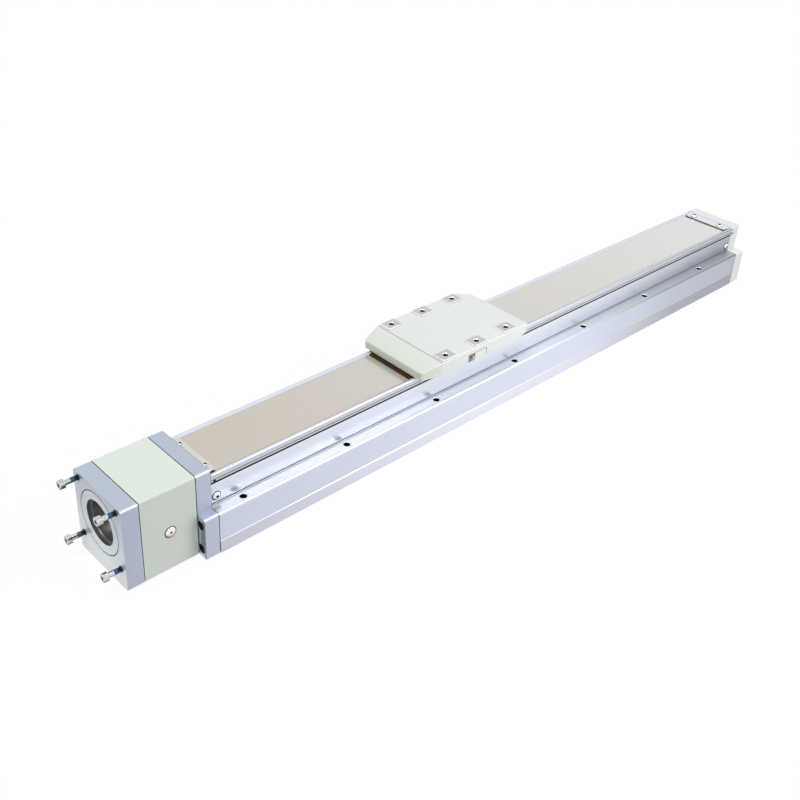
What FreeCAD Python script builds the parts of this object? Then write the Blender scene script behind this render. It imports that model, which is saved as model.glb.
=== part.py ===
import FreeCAD, Part
import math
import os

# Ball screw linear stage. Millimetres. X runs along the screw away from the motor end,
# Z is up, the origin lies on the underside at the middle of the base profile.

# Running and seating clearances
FREE = 0.3
RUNNING = 0.05
SCREW_GAP = 0.2

# Base profile
PROFILE_LENGTH = 690.0
BASE_WIDTH = 80.0
FLANGE_TOP = 36.7
STEP_HEIGHT = 11.0
STEP_DEPTH = 0.4
CORNER_RADIUS = 1.5
FLOOR_TOP = 12.0
LEDGE_TOP = 15.0
RAIL_INNER = 20.5
RAIL_OUTER = 25.3
RAIL_TOP = 34.0
SCREW_AXIS = 41.5

# Holes that bolt the base down
BASE_HOLES = 7
BASE_HOLE_PITCH = 100.0
BASE_HOLE_START = 25.0
BASE_HOLE_INSET = 0.25
BASE_HOLE_RADIUS = 2.75

# Side covers, strip and magnets
WALL_OUTER = 28.5
WALL_THICKNESS = 3.0
COVER_TOP = 63.1
LIP_INNER = 19.5
LIP_BOTTOM = 58.6
STRIP_BED = 61.6
STRIP_HALF = 24.4
STRIP_THICKNESS = 0.4
STRIP_SIDE_GAP = 0.2
STRIP_INSET = 0.5
COVER_EDGE_RADIUS = 0.8
TONGUE_WIDTH = 1.4
TONGUE_DEPTH = 1.8
TONGUE_OFFSET = 0.6
MAGNET_WIDTH = 3.0
MAGNET_THICKNESS = 1.0

# Lines in the outer face of a side cover as (height, width, depth)
SENSOR_GROOVE = (55.9, 1.5, 1.4)
UPPER_LINE = (58.5, 0.5, 0.3)
LOWER_LINE = (39.3, 0.6, 0.3)
PLUG_INSET = 4.0
PLUG_LENGTH = 3.2
PLUG_PROUD = 0.2

# End blocks, coupling housing and motor plate
BLOCK_LENGTH = 12.6
BLOCK_HALF = 31.0
BLOCK_TOP = 70.7
NOSE_LENGTH = 14.0
HOUSING_LENGTH = 45.8
HOUSING_BORE = 23.0
EDGE_RADIUS = 1.2
PLATE_LENGTH = 13.7
PLATE_HALF = 31.25
PLATE_EDGE = 0.5
FOOT_GAP = 0.4
PILOT_RADIUS = 17.5
PILOT_DEPTH = 4.0
PLATE_BORE = 16.2
SEAM_RADIUS = 25.0
SEAM_WIDTH = 0.4
SEAM_DEPTH = 0.5
MOTOR_CIRCLE = 35.0
END_CAP_LENGTH = 14.0
END_CAP_TOP = 64.1
END_CAP_FOOT = 1.0
END_CAP_PROUD = 0.5
END_CAP_CHAMFER = 0.6

# Screw and its bearings
SCREW_RADIUS = 7.5
FRONT_SEAT = 6.0
DRIVE_RADIUS = 5.0
REAR_SEAT = 5.0
FRONT_OUTER = 14.0
FRONT_BEARING_WIDTH = 16.0
REAR_OUTER = 13.0
REAR_BEARING_WIDTH = 8.0
REAR_BEARING_INSET = 3.0
SEAT_SHOULDER = 2.2
SCREW_END_INSET = 1.0
LOCK_NUT_WIDTH = 7.0
LOCK_NUT_RADIUS = 9.5
LOCK_NUT_SLOT = 3.0
LOCK_NUT_SLOT_DEPTH = 1.4
RETAINER_WIDTH = 2.0
RETAINER_BORE = 10.5
RETAINER_SLOT = 2.4

# Jaw coupling between the motor shaft and the screw
COUPLING_INSET = 8.0
COUPLING_RADIUS = 15.5
COUPLING_HUB = 16.0
COUPLING_JAWS = 8.0
JAWS = 3
JAW_SWEEP = 44.0
JAW_INNER = 6.0
JAW_OUTER = 14.5
SPIDER_CORE = 5.9
SPIDER_OUTER = 14.3
SPIDER_SIDE_GAP = 0.3
HUB_SLIT = 1.2
HUB_SCREW_HEIGHT = 10.5
HUB_SCREW_SEAT = 6.0
MOTOR_SHAFT = 5.5
DRIVE_END_GAP = 3.0

# Carriage
CARRIAGE_AT = -74.5
RUNNER_HALF = 62.0
RUNNER_WIDTH = 20.1
RUNNER_BOTTOM = 13.6
RUNNER_DECK = 21.4
TOWER_INNER = 16.6
BODY_HALF = 40.0
BODY_TOP = 57.0
NECK_HALF = 18.5
TABLE_BOTTOM = 64.2
TABLE_TOP = 67.0
TABLE_SETBACK = 1.0
BAR_INNER = 25.6
BAR_OUTER = 37.7
BAR_OVERHANG = 6.0
PAD_PITCH = 37.5
PAD_SPACING = 65.0
PAD_LENGTH = 15.6
PAD_WIDTH = 12.2
PAD_TOP = 77.2
PAD_HOLE = 2.5
PAD_HOLE_DEPTH = 12.0
NUT_RADIUS = 12.5
NUT_FLANGE = 17.5
NUT_LENGTH = 52.0
NUT_FLANGE_WIDTH = 8.0
NUT_SCREW_CIRCLE = 14.8
NUT_SCREW_LENGTH = 15.0
RACE_HEIGHTS = (20.0, 28.5)
RACE_RADIUS = 1.6

# Painted carriage cover
COVER_HALF_LENGTH = 67.0
COVER_FLAT_HALF = 47.5
COVER_HALF_WIDTH = 39.5
COVER_END_HALF = 34.8
COVER_CORNER = 4.0
COVER_ROOF = 76.0
COVER_END_TOP = 71.0
COVER_BOTTOM = 63.7
COVER_WALL = 1.6
WINDOW_START = -16.3
WINDOW_END = 6.7
WINDOW_TOP = 71.5
WINDOW_RADIUS = 2.0
WINDOW_GAP = 0.2
COVER_EDGE = 1.0
NIPPLE_AT = -11.5
NIPPLE_HEIGHT = 67.6
NIPPLE_THREAD = 2.0
NIPPLE_THREAD_LENGTH = 6.0
NIPPLE_HEXAGON = 3.1
NIPPLE_NECK = 1.3
NIPPLE_HEAD = 1.8
NIPPLE_OPENING = (7.7, 6.6)

# Strip lift inside the carriage
LIFT_INSET = 7.0
LIFT_HEIGHT = 6.6
LIFT_STEPS = 8
LIFT_ROLLER = 2.0
ROLLER_AFTER_LIFT = 2.3
JOURNAL_DEPTH = 4.0
ROLLER_END_PLAY = 0.5
GUIDE_HALF = 30.0
GUIDE_BAR_LENGTH = 3.2
GUIDE_BAR_HEIGHT = 5.0
GUIDE_CHEEK_HEIGHT = 8.0
SHOE_LENGTH = 4.5
SHOE_INSET = 4.0
SHOE_SIDE_GAP = 0.4
SHOE_HEIGHT_GAP = 0.4
WIPER_THICKNESS = 0.4
WIPER_SEAT = 3.5
WIPER_REACH = 3.4
WIPER_HALF = 24.0
WIPER_SEAT_HALF = 27.6

# Screws as (shank radius, head radius, head height, key radius), and shares of the head's size
M3_SOCKET = (1.5, 2.75, 3.0, 1.25)
M4_SOCKET = (2.0, 3.5, 4.0, 1.5)
M2_BUTTON = (1.25, 2.3, 1.5, 0.75)
M4_BUTTON = (2.0, 3.8, 2.2, 1.25)
M5_BUTTON = (2.5, 4.75, 2.6, 1.5)
SOCKET_FLOOR = 0.45
BUTTON_FLOOR = 0.35
BUTTON_CROWN = 0.62
TAP_DEPTH_EXTRA = 2.0

# Side screws, strip clamps, buffers, plug and nuts
SIDE_SCREW_Z = 43.3
SIDE_SCREW_INSET = 5.5
SIDE_SCREW_LENGTH = 8.0
CLAMP_THICKNESS = 1.8
CLAMP_LENGTH = 8.5
CLAMP_SCREW_Y = 16.0
CLAMP_CHAMFER = 0.4
CLAMP_SCREW_LENGTH = 6.0
BUMPER_RADIUS = 3.5
BUMPER_LENGTH = 16.0
BUMPER_Y = 12.0
BUMPER_Z = 18.5
ACCESS_FROM_PLATE = 36.7
ACCESS_Z = 33.7
ACCESS_PLUG_LENGTH = 6.0
MOTOR_SCREW_STANDOFF = 10.7
MOTOR_SCREW_LENGTH = 20.0
FLANGE_SCREW_LENGTH = 18.0
FLANGE_SCREW_Z = (7.5, 28.8)
HEAD_DEPTH = 5.0

# Places worked out from the values above
PROFILE_START = -PROFILE_LENGTH / 2
PROFILE_END = PROFILE_LENGTH / 2
BLOCK_START = PROFILE_START - BLOCK_LENGTH
HOUSING_START = BLOCK_START - HOUSING_LENGTH
PLATE_START = HOUSING_START - PLATE_LENGTH
NOSE_END = PROFILE_START + NOSE_LENGTH
REAR_NOSE = PROFILE_END - NOSE_LENGTH
CAP_END = PROFILE_END + END_CAP_LENGTH
WALL_INNER = WALL_OUTER - WALL_THICKNESS
STRIP_TOP = STRIP_BED + STRIP_THICKNESS
BASE_HOLE_Y = (WALL_OUTER + BASE_WIDTH / 2) / 2 - BASE_HOLE_INSET
BAR_HALF = BODY_HALF + BAR_OVERHANG
LIFT_START = COVER_HALF_LENGTH - LIFT_INSET
LIFT_END = BODY_HALF
JAW_PITCH = 180 / JAWS


def vec(x, y, z):
    return FreeCAD.Vector(x, y, z)


def box(x0, x1, y0, y1, z0, z1):
    """Return a box between two corners."""
    return Part.makeBox(x1 - x0, y1 - y0, z1 - z0, vec(x0, y0, z0))


def rod_x(x0, x1, y, z, radius):
    """Return a cylinder along X."""
    return Part.makeCylinder(radius, x1 - x0, vec(x0, y, z), vec(1, 0, 0))


def rod_y(y0, y1, x, z, radius):
    """Return a cylinder along Y."""
    return Part.makeCylinder(radius, y1 - y0, vec(x, y0, z), vec(0, 1, 0))


def rod_z(z0, z1, x, y, radius):
    """Return a cylinder along Z."""
    return Part.makeCylinder(radius, z1 - z0, vec(x, y, z0), vec(0, 0, 1))


def profile_x(points, x0, x1):
    """Extrude a closed outline of (y, z) points along X."""
    wire = Part.makePolygon([vec(x0, y, z) for y, z in points + points[:1]])
    return Part.Face(wire).extrude(vec(x1 - x0, 0, 0))


def profile_y(points, y0, y1):
    """Extrude a closed outline of (x, z) points along Y."""
    wire = Part.makePolygon([vec(x, y0, z) for x, z in points + points[:1]])
    return Part.Face(wire).extrude(vec(0, y1 - y0, 0))


def turned_x(points, z):
    """Revolve an outline of (x, radius) points about an axis along X at height z."""
    corners = [vec(x, 0, z + radius) for x, radius in points]
    face = Part.Face(Part.makePolygon(corners + corners[:1]))
    return face.revolve(vec(0, 0, z), vec(1, 0, 0), 360)


def mirrored(shape):
    """Return the shape mirrored across the middle plane y = 0."""
    return shape.mirror(vec(0, 0, 0), vec(0, 1, 0))


def reversed_x(shape, centre):
    """Return the shape mirrored across the plane x = centre."""
    return shape.mirror(vec(centre, 0, 0), vec(1, 0, 0))


def placed(shape, at, axis):
    """Turn a shape that is built along Z onto another axis and move it."""
    turn = FreeCAD.Rotation(vec(0, 0, 1), vec(*axis))
    result = shape.copy()
    result.Placement = FreeCAD.Placement(vec(*at), turn).multiply(shape.Placement)
    return result


def ring_wire(radius, z, sides=8):
    """Return a closed regular outline about the Z axis."""
    corners = [vec(radius * math.cos(a), radius * math.sin(a), z)
               for a in (2 * math.pi * k / sides for k in range(sides))]
    return Part.makePolygon(corners + corners[:1])


def many_sided(radius, length, sides=8):
    """Return a regular prism that rises from the origin, used where a small round repeats."""
    return Part.Face(ring_wire(radius, 0, sides)).extrude(vec(0, 0, length))


def socket_screw(size, length, at, axis):
    """Return a cap screw with its head above the point and its shank against the axis."""
    shank, head, height, key = size
    body = many_sided(head, height).fuse(many_sided(shank, length).translated(vec(0, 0, -length)))
    body = body.cut(many_sided(key, height, 6).translated(vec(0, 0, SOCKET_FLOOR * height)))
    return placed(body, at, axis)


def button_screw(size, length, at, axis):
    """Return a button head screw whose head narrows above the point."""
    shank, head, height, key = size
    body = Part.makeLoft([ring_wire(head, 0), ring_wire(BUTTON_CROWN * head, height)], True, True)
    body = body.fuse(many_sided(shank, length).translated(vec(0, 0, -length)))
    body = body.cut(many_sided(key, height, 6).translated(vec(0, 0, BUTTON_FLOOR * height)))
    return placed(body, at, axis)


def screw_hole(radius, depth, at, axis):
    """Return the hole that a screw leaves below the point, against the axis."""
    return placed(many_sided(radius, depth).translated(vec(0, 0, -depth)), at, axis)


def rounded_along_x(shape, radius, test):
    """Fillet the edges that run along X and pass the test on their middle point."""
    edges = []
    for edge in shape.Edges:
        size = edge.BoundBox
        if size.XLength > 1.0 and size.YLength < 1e-3 and size.ZLength < 1e-3:
            if test(size.Center):
                edges.append(edge)
    return shape.makeFillet(radius, edges)


def base_outline():
    """Return the half outline of the base profile for the +Y side, from the bottom up."""
    outer = BASE_WIDTH / 2
    return [(0, 0), (outer, 0), (outer, STEP_HEIGHT), (outer - STEP_DEPTH, STEP_HEIGHT + STEP_DEPTH),
            (outer - STEP_DEPTH, FLANGE_TOP), (RAIL_OUTER, FLANGE_TOP), (RAIL_OUTER, LEDGE_TOP),
            (RAIL_INNER, LEDGE_TOP), (RAIL_INNER, FLOOR_TOP), (0, FLOOR_TOP)]


def tongue_position():
    """Return the y range of the cover's tongue in the base."""
    middle = (RAIL_OUTER + WALL_OUTER) / 2 + TONGUE_OFFSET
    return middle - TONGUE_WIDTH / 2, middle + TONGUE_WIDTH / 2


def base_profile():
    """Extruded base with a channel, rail pockets, cover slots and bolt holes."""
    half = base_outline()
    outline = half + [(-y, z) for y, z in reversed(half[1:-1])]
    body = profile_x(outline, PROFILE_START, PROFILE_END)
    outer = BASE_WIDTH / 2 - STEP_DEPTH
    body = rounded_along_x(body, CORNER_RADIUS,
                           lambda c: abs(abs(c.y) - outer) < 0.1 and c.z > FLANGE_TOP - 0.1)
    slot0, slot1 = tongue_position()
    for side in (1, -1):
        y0, y1 = sorted((side * slot0, side * slot1))
        body = body.cut(box(PROFILE_START, PROFILE_END, y0, y1, FLANGE_TOP - TONGUE_DEPTH, FLANGE_TOP))
    for index in range(BASE_HOLES):
        x = PROFILE_START + BASE_HOLE_START + index * BASE_HOLE_PITCH
        for side in (1, -1):
            body = body.cut(rod_z(0, FLANGE_TOP, x, side * BASE_HOLE_Y, BASE_HOLE_RADIUS))
    tapped = FLANGE_SCREW_LENGTH + HEAD_DEPTH + TAP_DEPTH_EXTRA
    for y, z in flange_screw_places():
        near, far = (PROFILE_START, y, z), (PROFILE_END, y, z)
        body = body.cut(screw_hole(M4_SOCKET[0], tapped - BLOCK_LENGTH, near, (-1, 0, 0)))
        body = body.cut(screw_hole(M4_SOCKET[0], tapped - END_CAP_LENGTH, far, (1, 0, 0)))
    return body


def flange_screw_places():
    """Return the (y, z) of the screws in the flange's end faces."""
    return [(side * BASE_HOLE_Y, z) for side in (1, -1) for z in FLANGE_SCREW_Z]


def guide_rail():
    """Hardened rail for the +Y side with two ball grooves in its inner face."""
    rail = box(PROFILE_START, PROFILE_END, RAIL_INNER, RAIL_OUTER, LEDGE_TOP, RAIL_TOP)
    for z in RACE_HEIGHTS:
        rail = rail.cut(ball_race(PROFILE_START, PROFILE_END, race_centre(), z))
    return rail


def ball_race(x0, x1, y, z):
    """Return the channel that a row of guide balls leaves between a rail and the runner."""
    return placed(many_sided(RACE_RADIUS, x1 - x0), (x0, y, z), (1, 0, 0))


def race_centre():
    """Return the y of a ball row on the +Y side."""
    return (RUNNER_WIDTH + RAIL_INNER) / 2


def side_cover():
    """Extruded side cover for the +Y side with a lip for the strip and a sensor groove."""
    slot0, slot1 = tongue_position()
    ledge = STRIP_HALF + STRIP_SIDE_GAP
    outline = [(WALL_INNER, FLANGE_TOP), (slot0, FLANGE_TOP), (slot0, FLANGE_TOP - TONGUE_DEPTH),
               (slot1, FLANGE_TOP - TONGUE_DEPTH), (slot1, FLANGE_TOP), (WALL_OUTER, FLANGE_TOP),
               (WALL_OUTER, COVER_TOP), (ledge, COVER_TOP), (ledge, STRIP_BED),
               (LIP_INNER, STRIP_BED), (LIP_INNER, LIP_BOTTOM), (WALL_INNER, LIP_BOTTOM)]
    cover = profile_x(outline, PROFILE_START, PROFILE_END)
    cover = rounded_along_x(cover, COVER_EDGE_RADIUS,
                            lambda c: c.y > WALL_OUTER - 0.1 and c.z > COVER_TOP - 0.1)
    for z, width, depth in (SENSOR_GROOVE, UPPER_LINE, LOWER_LINE):
        cover = cover.cut(box(PROFILE_START, PROFILE_END, WALL_OUTER - depth, WALL_OUTER,
                              z - width / 2, z + width / 2))
    cover = cover.cut(magnet_strip())
    for x in side_screw_places():
        at = (x, WALL_OUTER, SIDE_SCREW_Z)
        cover = cover.cut(screw_hole(M4_BUTTON[0] + SCREW_GAP, WALL_THICKNESS, at, (0, 1, 0)))
    return cover


def magnet_strip():
    """Flexible magnet strip in the +Y lip that holds the cover strip down."""
    middle = (LIP_INNER + STRIP_HALF) / 2
    return box(PROFILE_START, PROFILE_END, middle - MAGNET_WIDTH / 2, middle + MAGNET_WIDTH / 2,
               STRIP_BED - MAGNET_THICKNESS, STRIP_BED)


def side_screw_places():
    """Return the x of the screw near each end of a side cover."""
    return PROFILE_START + SIDE_SCREW_INSET, PROFILE_END - SIDE_SCREW_INSET


def side_screws():
    """Four button head screws that hold the side covers to the end blocks."""
    screws = []
    for x in side_screw_places():
        for side in (1, -1):
            at = (x, side * WALL_OUTER, SIDE_SCREW_Z)
            screws.append(button_screw(M4_BUTTON, SIDE_SCREW_LENGTH, at, (0, side, 0)))
    return Part.makeCompound(screws)


def groove_plugs():
    """Four small plugs that close the ends of the sensor grooves."""
    height, width, depth = SENSOR_GROOVE
    half = PLUG_LENGTH / 2
    plugs = []
    for x in (PROFILE_START + PLUG_INSET, PROFILE_END - PLUG_INSET):
        for side in (1, -1):
            y0, y1 = sorted((side * (WALL_OUTER - depth), side * (WALL_OUTER + PLUG_PROUD)))
            plugs.append(box(x - half, x + half, y0, y1, height - width / 2, height + width / 2))
    return Part.makeCompound(plugs)


def nose(x0, x1):
    """Solid nose of an end block that fills the channel and carries the side covers."""
    lower = box(x0, x1, -RAIL_INNER, RAIL_INNER, FLOOR_TOP, FLANGE_TOP)
    upper = box(x0, x1, -WALL_INNER, WALL_INNER, FLANGE_TOP, LIP_BOTTOM)
    top = box(x0, x1, -LIP_INNER, LIP_INNER, LIP_BOTTOM, STRIP_BED)
    body = lower.fuse([upper, top]).removeSplitter()
    middle = (x0 + x1) / 2
    x = min(side_screw_places(), key=lambda place: abs(place - middle))
    for side in (1, -1):
        wall = (x, side * WALL_INNER, SIDE_SCREW_Z)
        top = (x, side * CLAMP_SCREW_Y, STRIP_BED)
        body = body.cut(screw_hole(M4_BUTTON[0], SIDE_SCREW_LENGTH, wall, (0, side, 0)))
        body = body.cut(screw_hole(M2_BUTTON[0], CLAMP_SCREW_LENGTH, top, (0, 0, 1)))
    return body


def stepped_block(x0, x1, half, top, flange_half, flange_top, bottom):
    """Inverted T block: a wide flange at the foot and a narrower upper body."""
    outline = [(-flange_half, bottom), (flange_half, bottom), (flange_half, flange_top),
               (half, flange_top), (half, top), (-half, top), (-half, flange_top),
               (-flange_half, flange_top)]
    body = profile_x(outline, x0, x1)
    return rounded_along_x(body, EDGE_RADIUS, lambda c: c.z > top - 0.1 or
                           (c.z > flange_top - 0.1 and abs(c.y) > flange_half - 0.1))


def bearing_block():
    """Front block with the fixed bearing, its nose and the counterbored base screws."""
    body = stepped_block(BLOCK_START, PROFILE_START, BLOCK_HALF, BLOCK_TOP,
                         BASE_WIDTH / 2 - STEP_DEPTH, FLANGE_TOP, FOOT_GAP)
    body = body.fuse(nose(PROFILE_START, NOSE_END)).removeSplitter()
    shoulder = front_bearing_start() + FRONT_BEARING_WIDTH
    body = body.cut(rod_x(BLOCK_START, shoulder, 0, SCREW_AXIS, FRONT_OUTER))
    body = body.cut(rod_x(shoulder, NOSE_END, 0, SCREW_AXIS, FRONT_OUTER - SEAT_SHOULDER))
    return counterbored(body, BLOCK_START, BLOCK_LENGTH, -1)


def counterbored(body, x, length, side):
    """Cut the flange screws' counterbored holes into the end face at x."""
    for y, z in flange_screw_places():
        for radius, depth in ((M4_SOCKET[0], length), (M4_SOCKET[1], HEAD_DEPTH)):
            body = body.cut(screw_hole(radius + SCREW_GAP, depth, (x, y, z), (side, 0, 0)))
    return body


def flange_screws(x, side):
    """Four cap screws sunk into the counterbores of the end face at x."""
    seat = x - side * HEAD_DEPTH
    return Part.makeCompound([socket_screw(M4_SOCKET, FLANGE_SCREW_LENGTH, (seat, y, z), (side, 0, 0))
                              for y, z in flange_screw_places()])


def front_bearing_start():
    """Return the x where the front bearing pair starts."""
    return BLOCK_START + RETAINER_WIDTH


def bearing(x0, width, outer, seat):
    """Sealed ball bearing as one bought unit that runs on a seat of the screw."""
    bore = seat + RUNNING
    return turned_x([(x0, bore), (x0, outer), (x0 + width, outer), (x0 + width, bore)], SCREW_AXIS)


def bearing_set():
    """The fixed bearing pair with its retainer at the motor end and the free bearing."""
    front = bearing(front_bearing_start(), FRONT_BEARING_WIDTH, FRONT_OUTER, FRONT_SEAT)
    rear = bearing(rear_bearing_start(), REAR_BEARING_WIDTH, REAR_OUTER, REAR_SEAT)
    return Part.makeCompound([front, bearing_retainer(), rear])


def bearing_retainer():
    """Slotted threaded ring that holds the bearing in the front block."""
    x1 = front_bearing_start()
    ring = turned_x([(BLOCK_START, RETAINER_BORE), (BLOCK_START, FRONT_OUTER), (x1, FRONT_OUTER),
                     (x1, RETAINER_BORE)], SCREW_AXIS)
    half = RETAINER_SLOT / 2
    slot = box(BLOCK_START, BLOCK_START + RETAINER_WIDTH / 2, -half, half,
               SCREW_AXIS - FRONT_OUTER, SCREW_AXIS + FRONT_OUTER)
    return ring.cut(slot)


def coupling_housing():
    """Painted square tube around the coupling with an access hole on the near side."""
    body = box(HOUSING_START, BLOCK_START, -BLOCK_HALF, BLOCK_HALF, FOOT_GAP, BLOCK_TOP)
    body = rounded_along_x(body, EDGE_RADIUS, lambda c: True)
    body = body.cut(rod_x(HOUSING_START, BLOCK_START, 0, SCREW_AXIS, HOUSING_BORE))
    return body.cut(screw_hole(M5_BUTTON[0], BLOCK_HALF, access_place(), (0, -1, 0)))


def access_place():
    """Return where the access hole opens on the near side of the housing."""
    return PLATE_START + ACCESS_FROM_PLATE, -BLOCK_HALF, ACCESS_Z


def access_plug():
    """Button head plug in the coupling housing's access hole."""
    return button_screw(M5_BUTTON, ACCESS_PLUG_LENGTH, access_place(), (0, -1, 0))


def motor_plate():
    """Motor adapter plate with a ring seam, a stepped pilot bore and four threaded holes."""
    body = box(PLATE_START, HOUSING_START, -PLATE_HALF, PLATE_HALF, FOOT_GAP, BLOCK_TOP)
    body = rounded_along_x(body, EDGE_RADIUS, lambda c: c.z < FOOT_GAP + 0.1)
    body = rounded_along_x(body, PLATE_EDGE, lambda c: c.z > BLOCK_TOP - 0.1)
    body = body.cut(rod_x(PLATE_START, HOUSING_START, 0, SCREW_AXIS, PLATE_BORE))
    body = body.cut(rod_x(PLATE_START, PLATE_START + PILOT_DEPTH, 0, SCREW_AXIS, PILOT_RADIUS))
    seam_inner = SEAM_RADIUS - SEAM_WIDTH
    seam_end = PLATE_START + SEAM_DEPTH
    body = body.cut(turned_x([(PLATE_START, seam_inner), (PLATE_START, SEAM_RADIUS),
                              (seam_end, SEAM_RADIUS), (seam_end, seam_inner)], SCREW_AXIS))
    for y, z in motor_screw_places():
        body = body.cut(screw_hole(M4_SOCKET[0], PLATE_LENGTH, (PLATE_START, y, z), (-1, 0, 0)))
    return body


def motor_screw_places():
    """Return the (y, z) of the motor screws on their circle."""
    reach = MOTOR_CIRCLE * math.sqrt(0.5)
    return [(sy * reach, SCREW_AXIS + sz * reach) for sy in (1, -1) for sz in (1, -1)]


def motor_screws():
    """Four motor screws, started in the plate and left standing out for the motor."""
    at = PLATE_START - MOTOR_SCREW_STANDOFF
    return Part.makeCompound([socket_screw(M4_SOCKET, MOTOR_SCREW_LENGTH, (at, y, z), (-1, 0, 0))
                              for y, z in motor_screw_places()])


def rear_block():
    """Rear block inside the profile that carries the free bearing."""
    body = nose(REAR_NOSE, PROFILE_END)
    seat = rear_bearing_start()
    body = body.cut(rod_x(seat, PROFILE_END, 0, SCREW_AXIS, REAR_OUTER))
    return body.cut(rod_x(REAR_NOSE, seat, 0, SCREW_AXIS, REAR_OUTER - SEAT_SHOULDER))


def rear_bearing_start():
    """Return the x where the rear bearing starts."""
    return PROFILE_END - REAR_BEARING_INSET - REAR_BEARING_WIDTH


def end_cap():
    """Painted end cap over the rear block with counterbored screw holes."""
    body = stepped_block(PROFILE_END, CAP_END, WALL_OUTER, END_CAP_TOP,
                         BASE_WIDTH / 2 + END_CAP_PROUD, FLANGE_TOP, END_CAP_FOOT)
    end_edges = [edge for edge in body.Edges if edge.BoundBox.XMin > CAP_END - 0.01]
    body = body.makeChamfer(END_CAP_CHAMFER, end_edges)
    return counterbored(body, CAP_END, END_CAP_LENGTH, 1)


def bumpers():
    """Two rubber buffers of the front stop."""
    buffer = many_sided(BUMPER_RADIUS, BUMPER_LENGTH, 12)
    return Part.makeCompound([placed(buffer, (NOSE_END, side * BUMPER_Y, BUMPER_Z), (1, 0, 0))
                              for side in (1, -1)])


def strip_clamp():
    """Front plate that clamps the cover strip's end to the block's nose."""
    x0 = PROFILE_START + STRIP_INSET
    top = STRIP_TOP + CLAMP_THICKNESS
    plate = box(x0, x0 + CLAMP_LENGTH, -STRIP_HALF, STRIP_HALF, STRIP_TOP, top)
    x = side_screw_places()[0]
    for side in (1, -1):
        at = (x, side * CLAMP_SCREW_Y, top)
        plate = plate.cut(screw_hole(M2_BUTTON[0] + SCREW_GAP, CLAMP_THICKNESS, at, (0, 0, 1)))
    upper = [edge for edge in plate.Edges if edge.BoundBox.ZMin > top - 0.01
             and edge.BoundBox.YLength > 2 * STRIP_HALF - 1]
    return plate.makeChamfer(CLAMP_CHAMFER, upper)


def strip_clamp_screws():
    """Four small screws of the two strip clamps."""
    screws = []
    for x in side_screw_places():
        for side in (1, -1):
            at = (x, side * CLAMP_SCREW_Y, STRIP_TOP + CLAMP_THICKNESS)
            screws.append(button_screw(M2_BUTTON, CLAMP_SCREW_LENGTH, at, (0, 0, 1)))
    return Part.makeCompound(screws)


def strip_path(under):
    """Return the (x, z) points of one face of the strip from end to end."""
    base = STRIP_BED if under else STRIP_TOP
    rise = []
    for index in range(LIFT_STEPS + 1):
        part = index / LIFT_STEPS
        x = -LIFT_START + (LIFT_START - LIFT_END) * part
        rise.append((CARRIAGE_AT + x, base + LIFT_HEIGHT * part * part * (3 - 2 * part)))
    fall = [(2 * CARRIAGE_AT - x, z) for x, z in reversed(rise)]
    return [(PROFILE_START + STRIP_INSET, base)] + rise + fall + [(PROFILE_END - STRIP_INSET, base)]


def cover_strip():
    """Thin steel strip that closes the slot and lifts through the carriage."""
    outline = strip_path(True) + list(reversed(strip_path(False)))
    strip = profile_y(outline, -STRIP_HALF, STRIP_HALF)
    for x in side_screw_places():
        for side in (1, -1):
            top = (x, side * CLAMP_SCREW_Y, STRIP_TOP)
            strip = strip.cut(screw_hole(M2_BUTTON[0] + SCREW_GAP, STRIP_THICKNESS, top, (0, 0, 1)))
    return strip


def screw_front_end():
    """Return the x of the screw's end in the coupling."""
    return coupling_start() + COUPLING_HUB + COUPLING_JAWS + DRIVE_END_GAP


def coupling_start():
    """Return the x where the motor hub of the coupling starts."""
    return PLATE_START + PILOT_DEPTH + COUPLING_INSET


def screw_shaft():
    """Ball screw with turned bearing seats; the ball groove is cut in the visual model."""
    seat0 = front_bearing_start() - LOCK_NUT_WIDTH
    seat1 = front_bearing_start() + FRONT_BEARING_WIDTH
    rear = rear_bearing_start()
    end = PROFILE_END - SCREW_END_INSET
    outline = [(screw_front_end(), 0), (screw_front_end(), DRIVE_RADIUS), (seat0, DRIVE_RADIUS),
               (seat0, FRONT_SEAT), (seat1, FRONT_SEAT), (seat1, SCREW_RADIUS), (rear, SCREW_RADIUS),
               (rear, REAR_SEAT), (end, REAR_SEAT), (end, 0)]
    return turned_x(outline, SCREW_AXIS)


def lock_nut():
    """Slotted lock nut that preloads the front bearing."""
    end = front_bearing_start()
    start = end - LOCK_NUT_WIDTH
    nut = turned_x([(start, FRONT_SEAT), (start, LOCK_NUT_RADIUS), (end, LOCK_NUT_RADIUS),
                    (end, FRONT_SEAT)], SCREW_AXIS)
    reach = LOCK_NUT_RADIUS + 1
    half = LOCK_NUT_SLOT / 2
    slots = box(start, end, -half, half, SCREW_AXIS - reach, SCREW_AXIS + reach)
    slots = slots.fuse(box(start, end, -reach, reach, SCREW_AXIS - half, SCREW_AXIS + half))
    floor = rod_x(start, end, 0, SCREW_AXIS, LOCK_NUT_RADIUS - LOCK_NUT_SLOT_DEPTH)
    return nut.cut(slots.cut(floor))


def jaw_sector(x0, x1, inner, outer, start, sweep):
    """Return a sector of a ring that spans x0 to x1 and starts at an angle."""
    outline = [vec(x0, 0, SCREW_AXIS + inner), vec(x0, 0, SCREW_AXIS + outer),
               vec(x1, 0, SCREW_AXIS + outer), vec(x1, 0, SCREW_AXIS + inner)]
    sector = Part.Face(Part.makePolygon(outline + outline[:1]))
    sector = sector.revolve(vec(0, 0, SCREW_AXIS), vec(1, 0, 0), sweep)
    sector.rotate(vec(0, 0, SCREW_AXIS), vec(1, 0, 0), start)
    return sector


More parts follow.
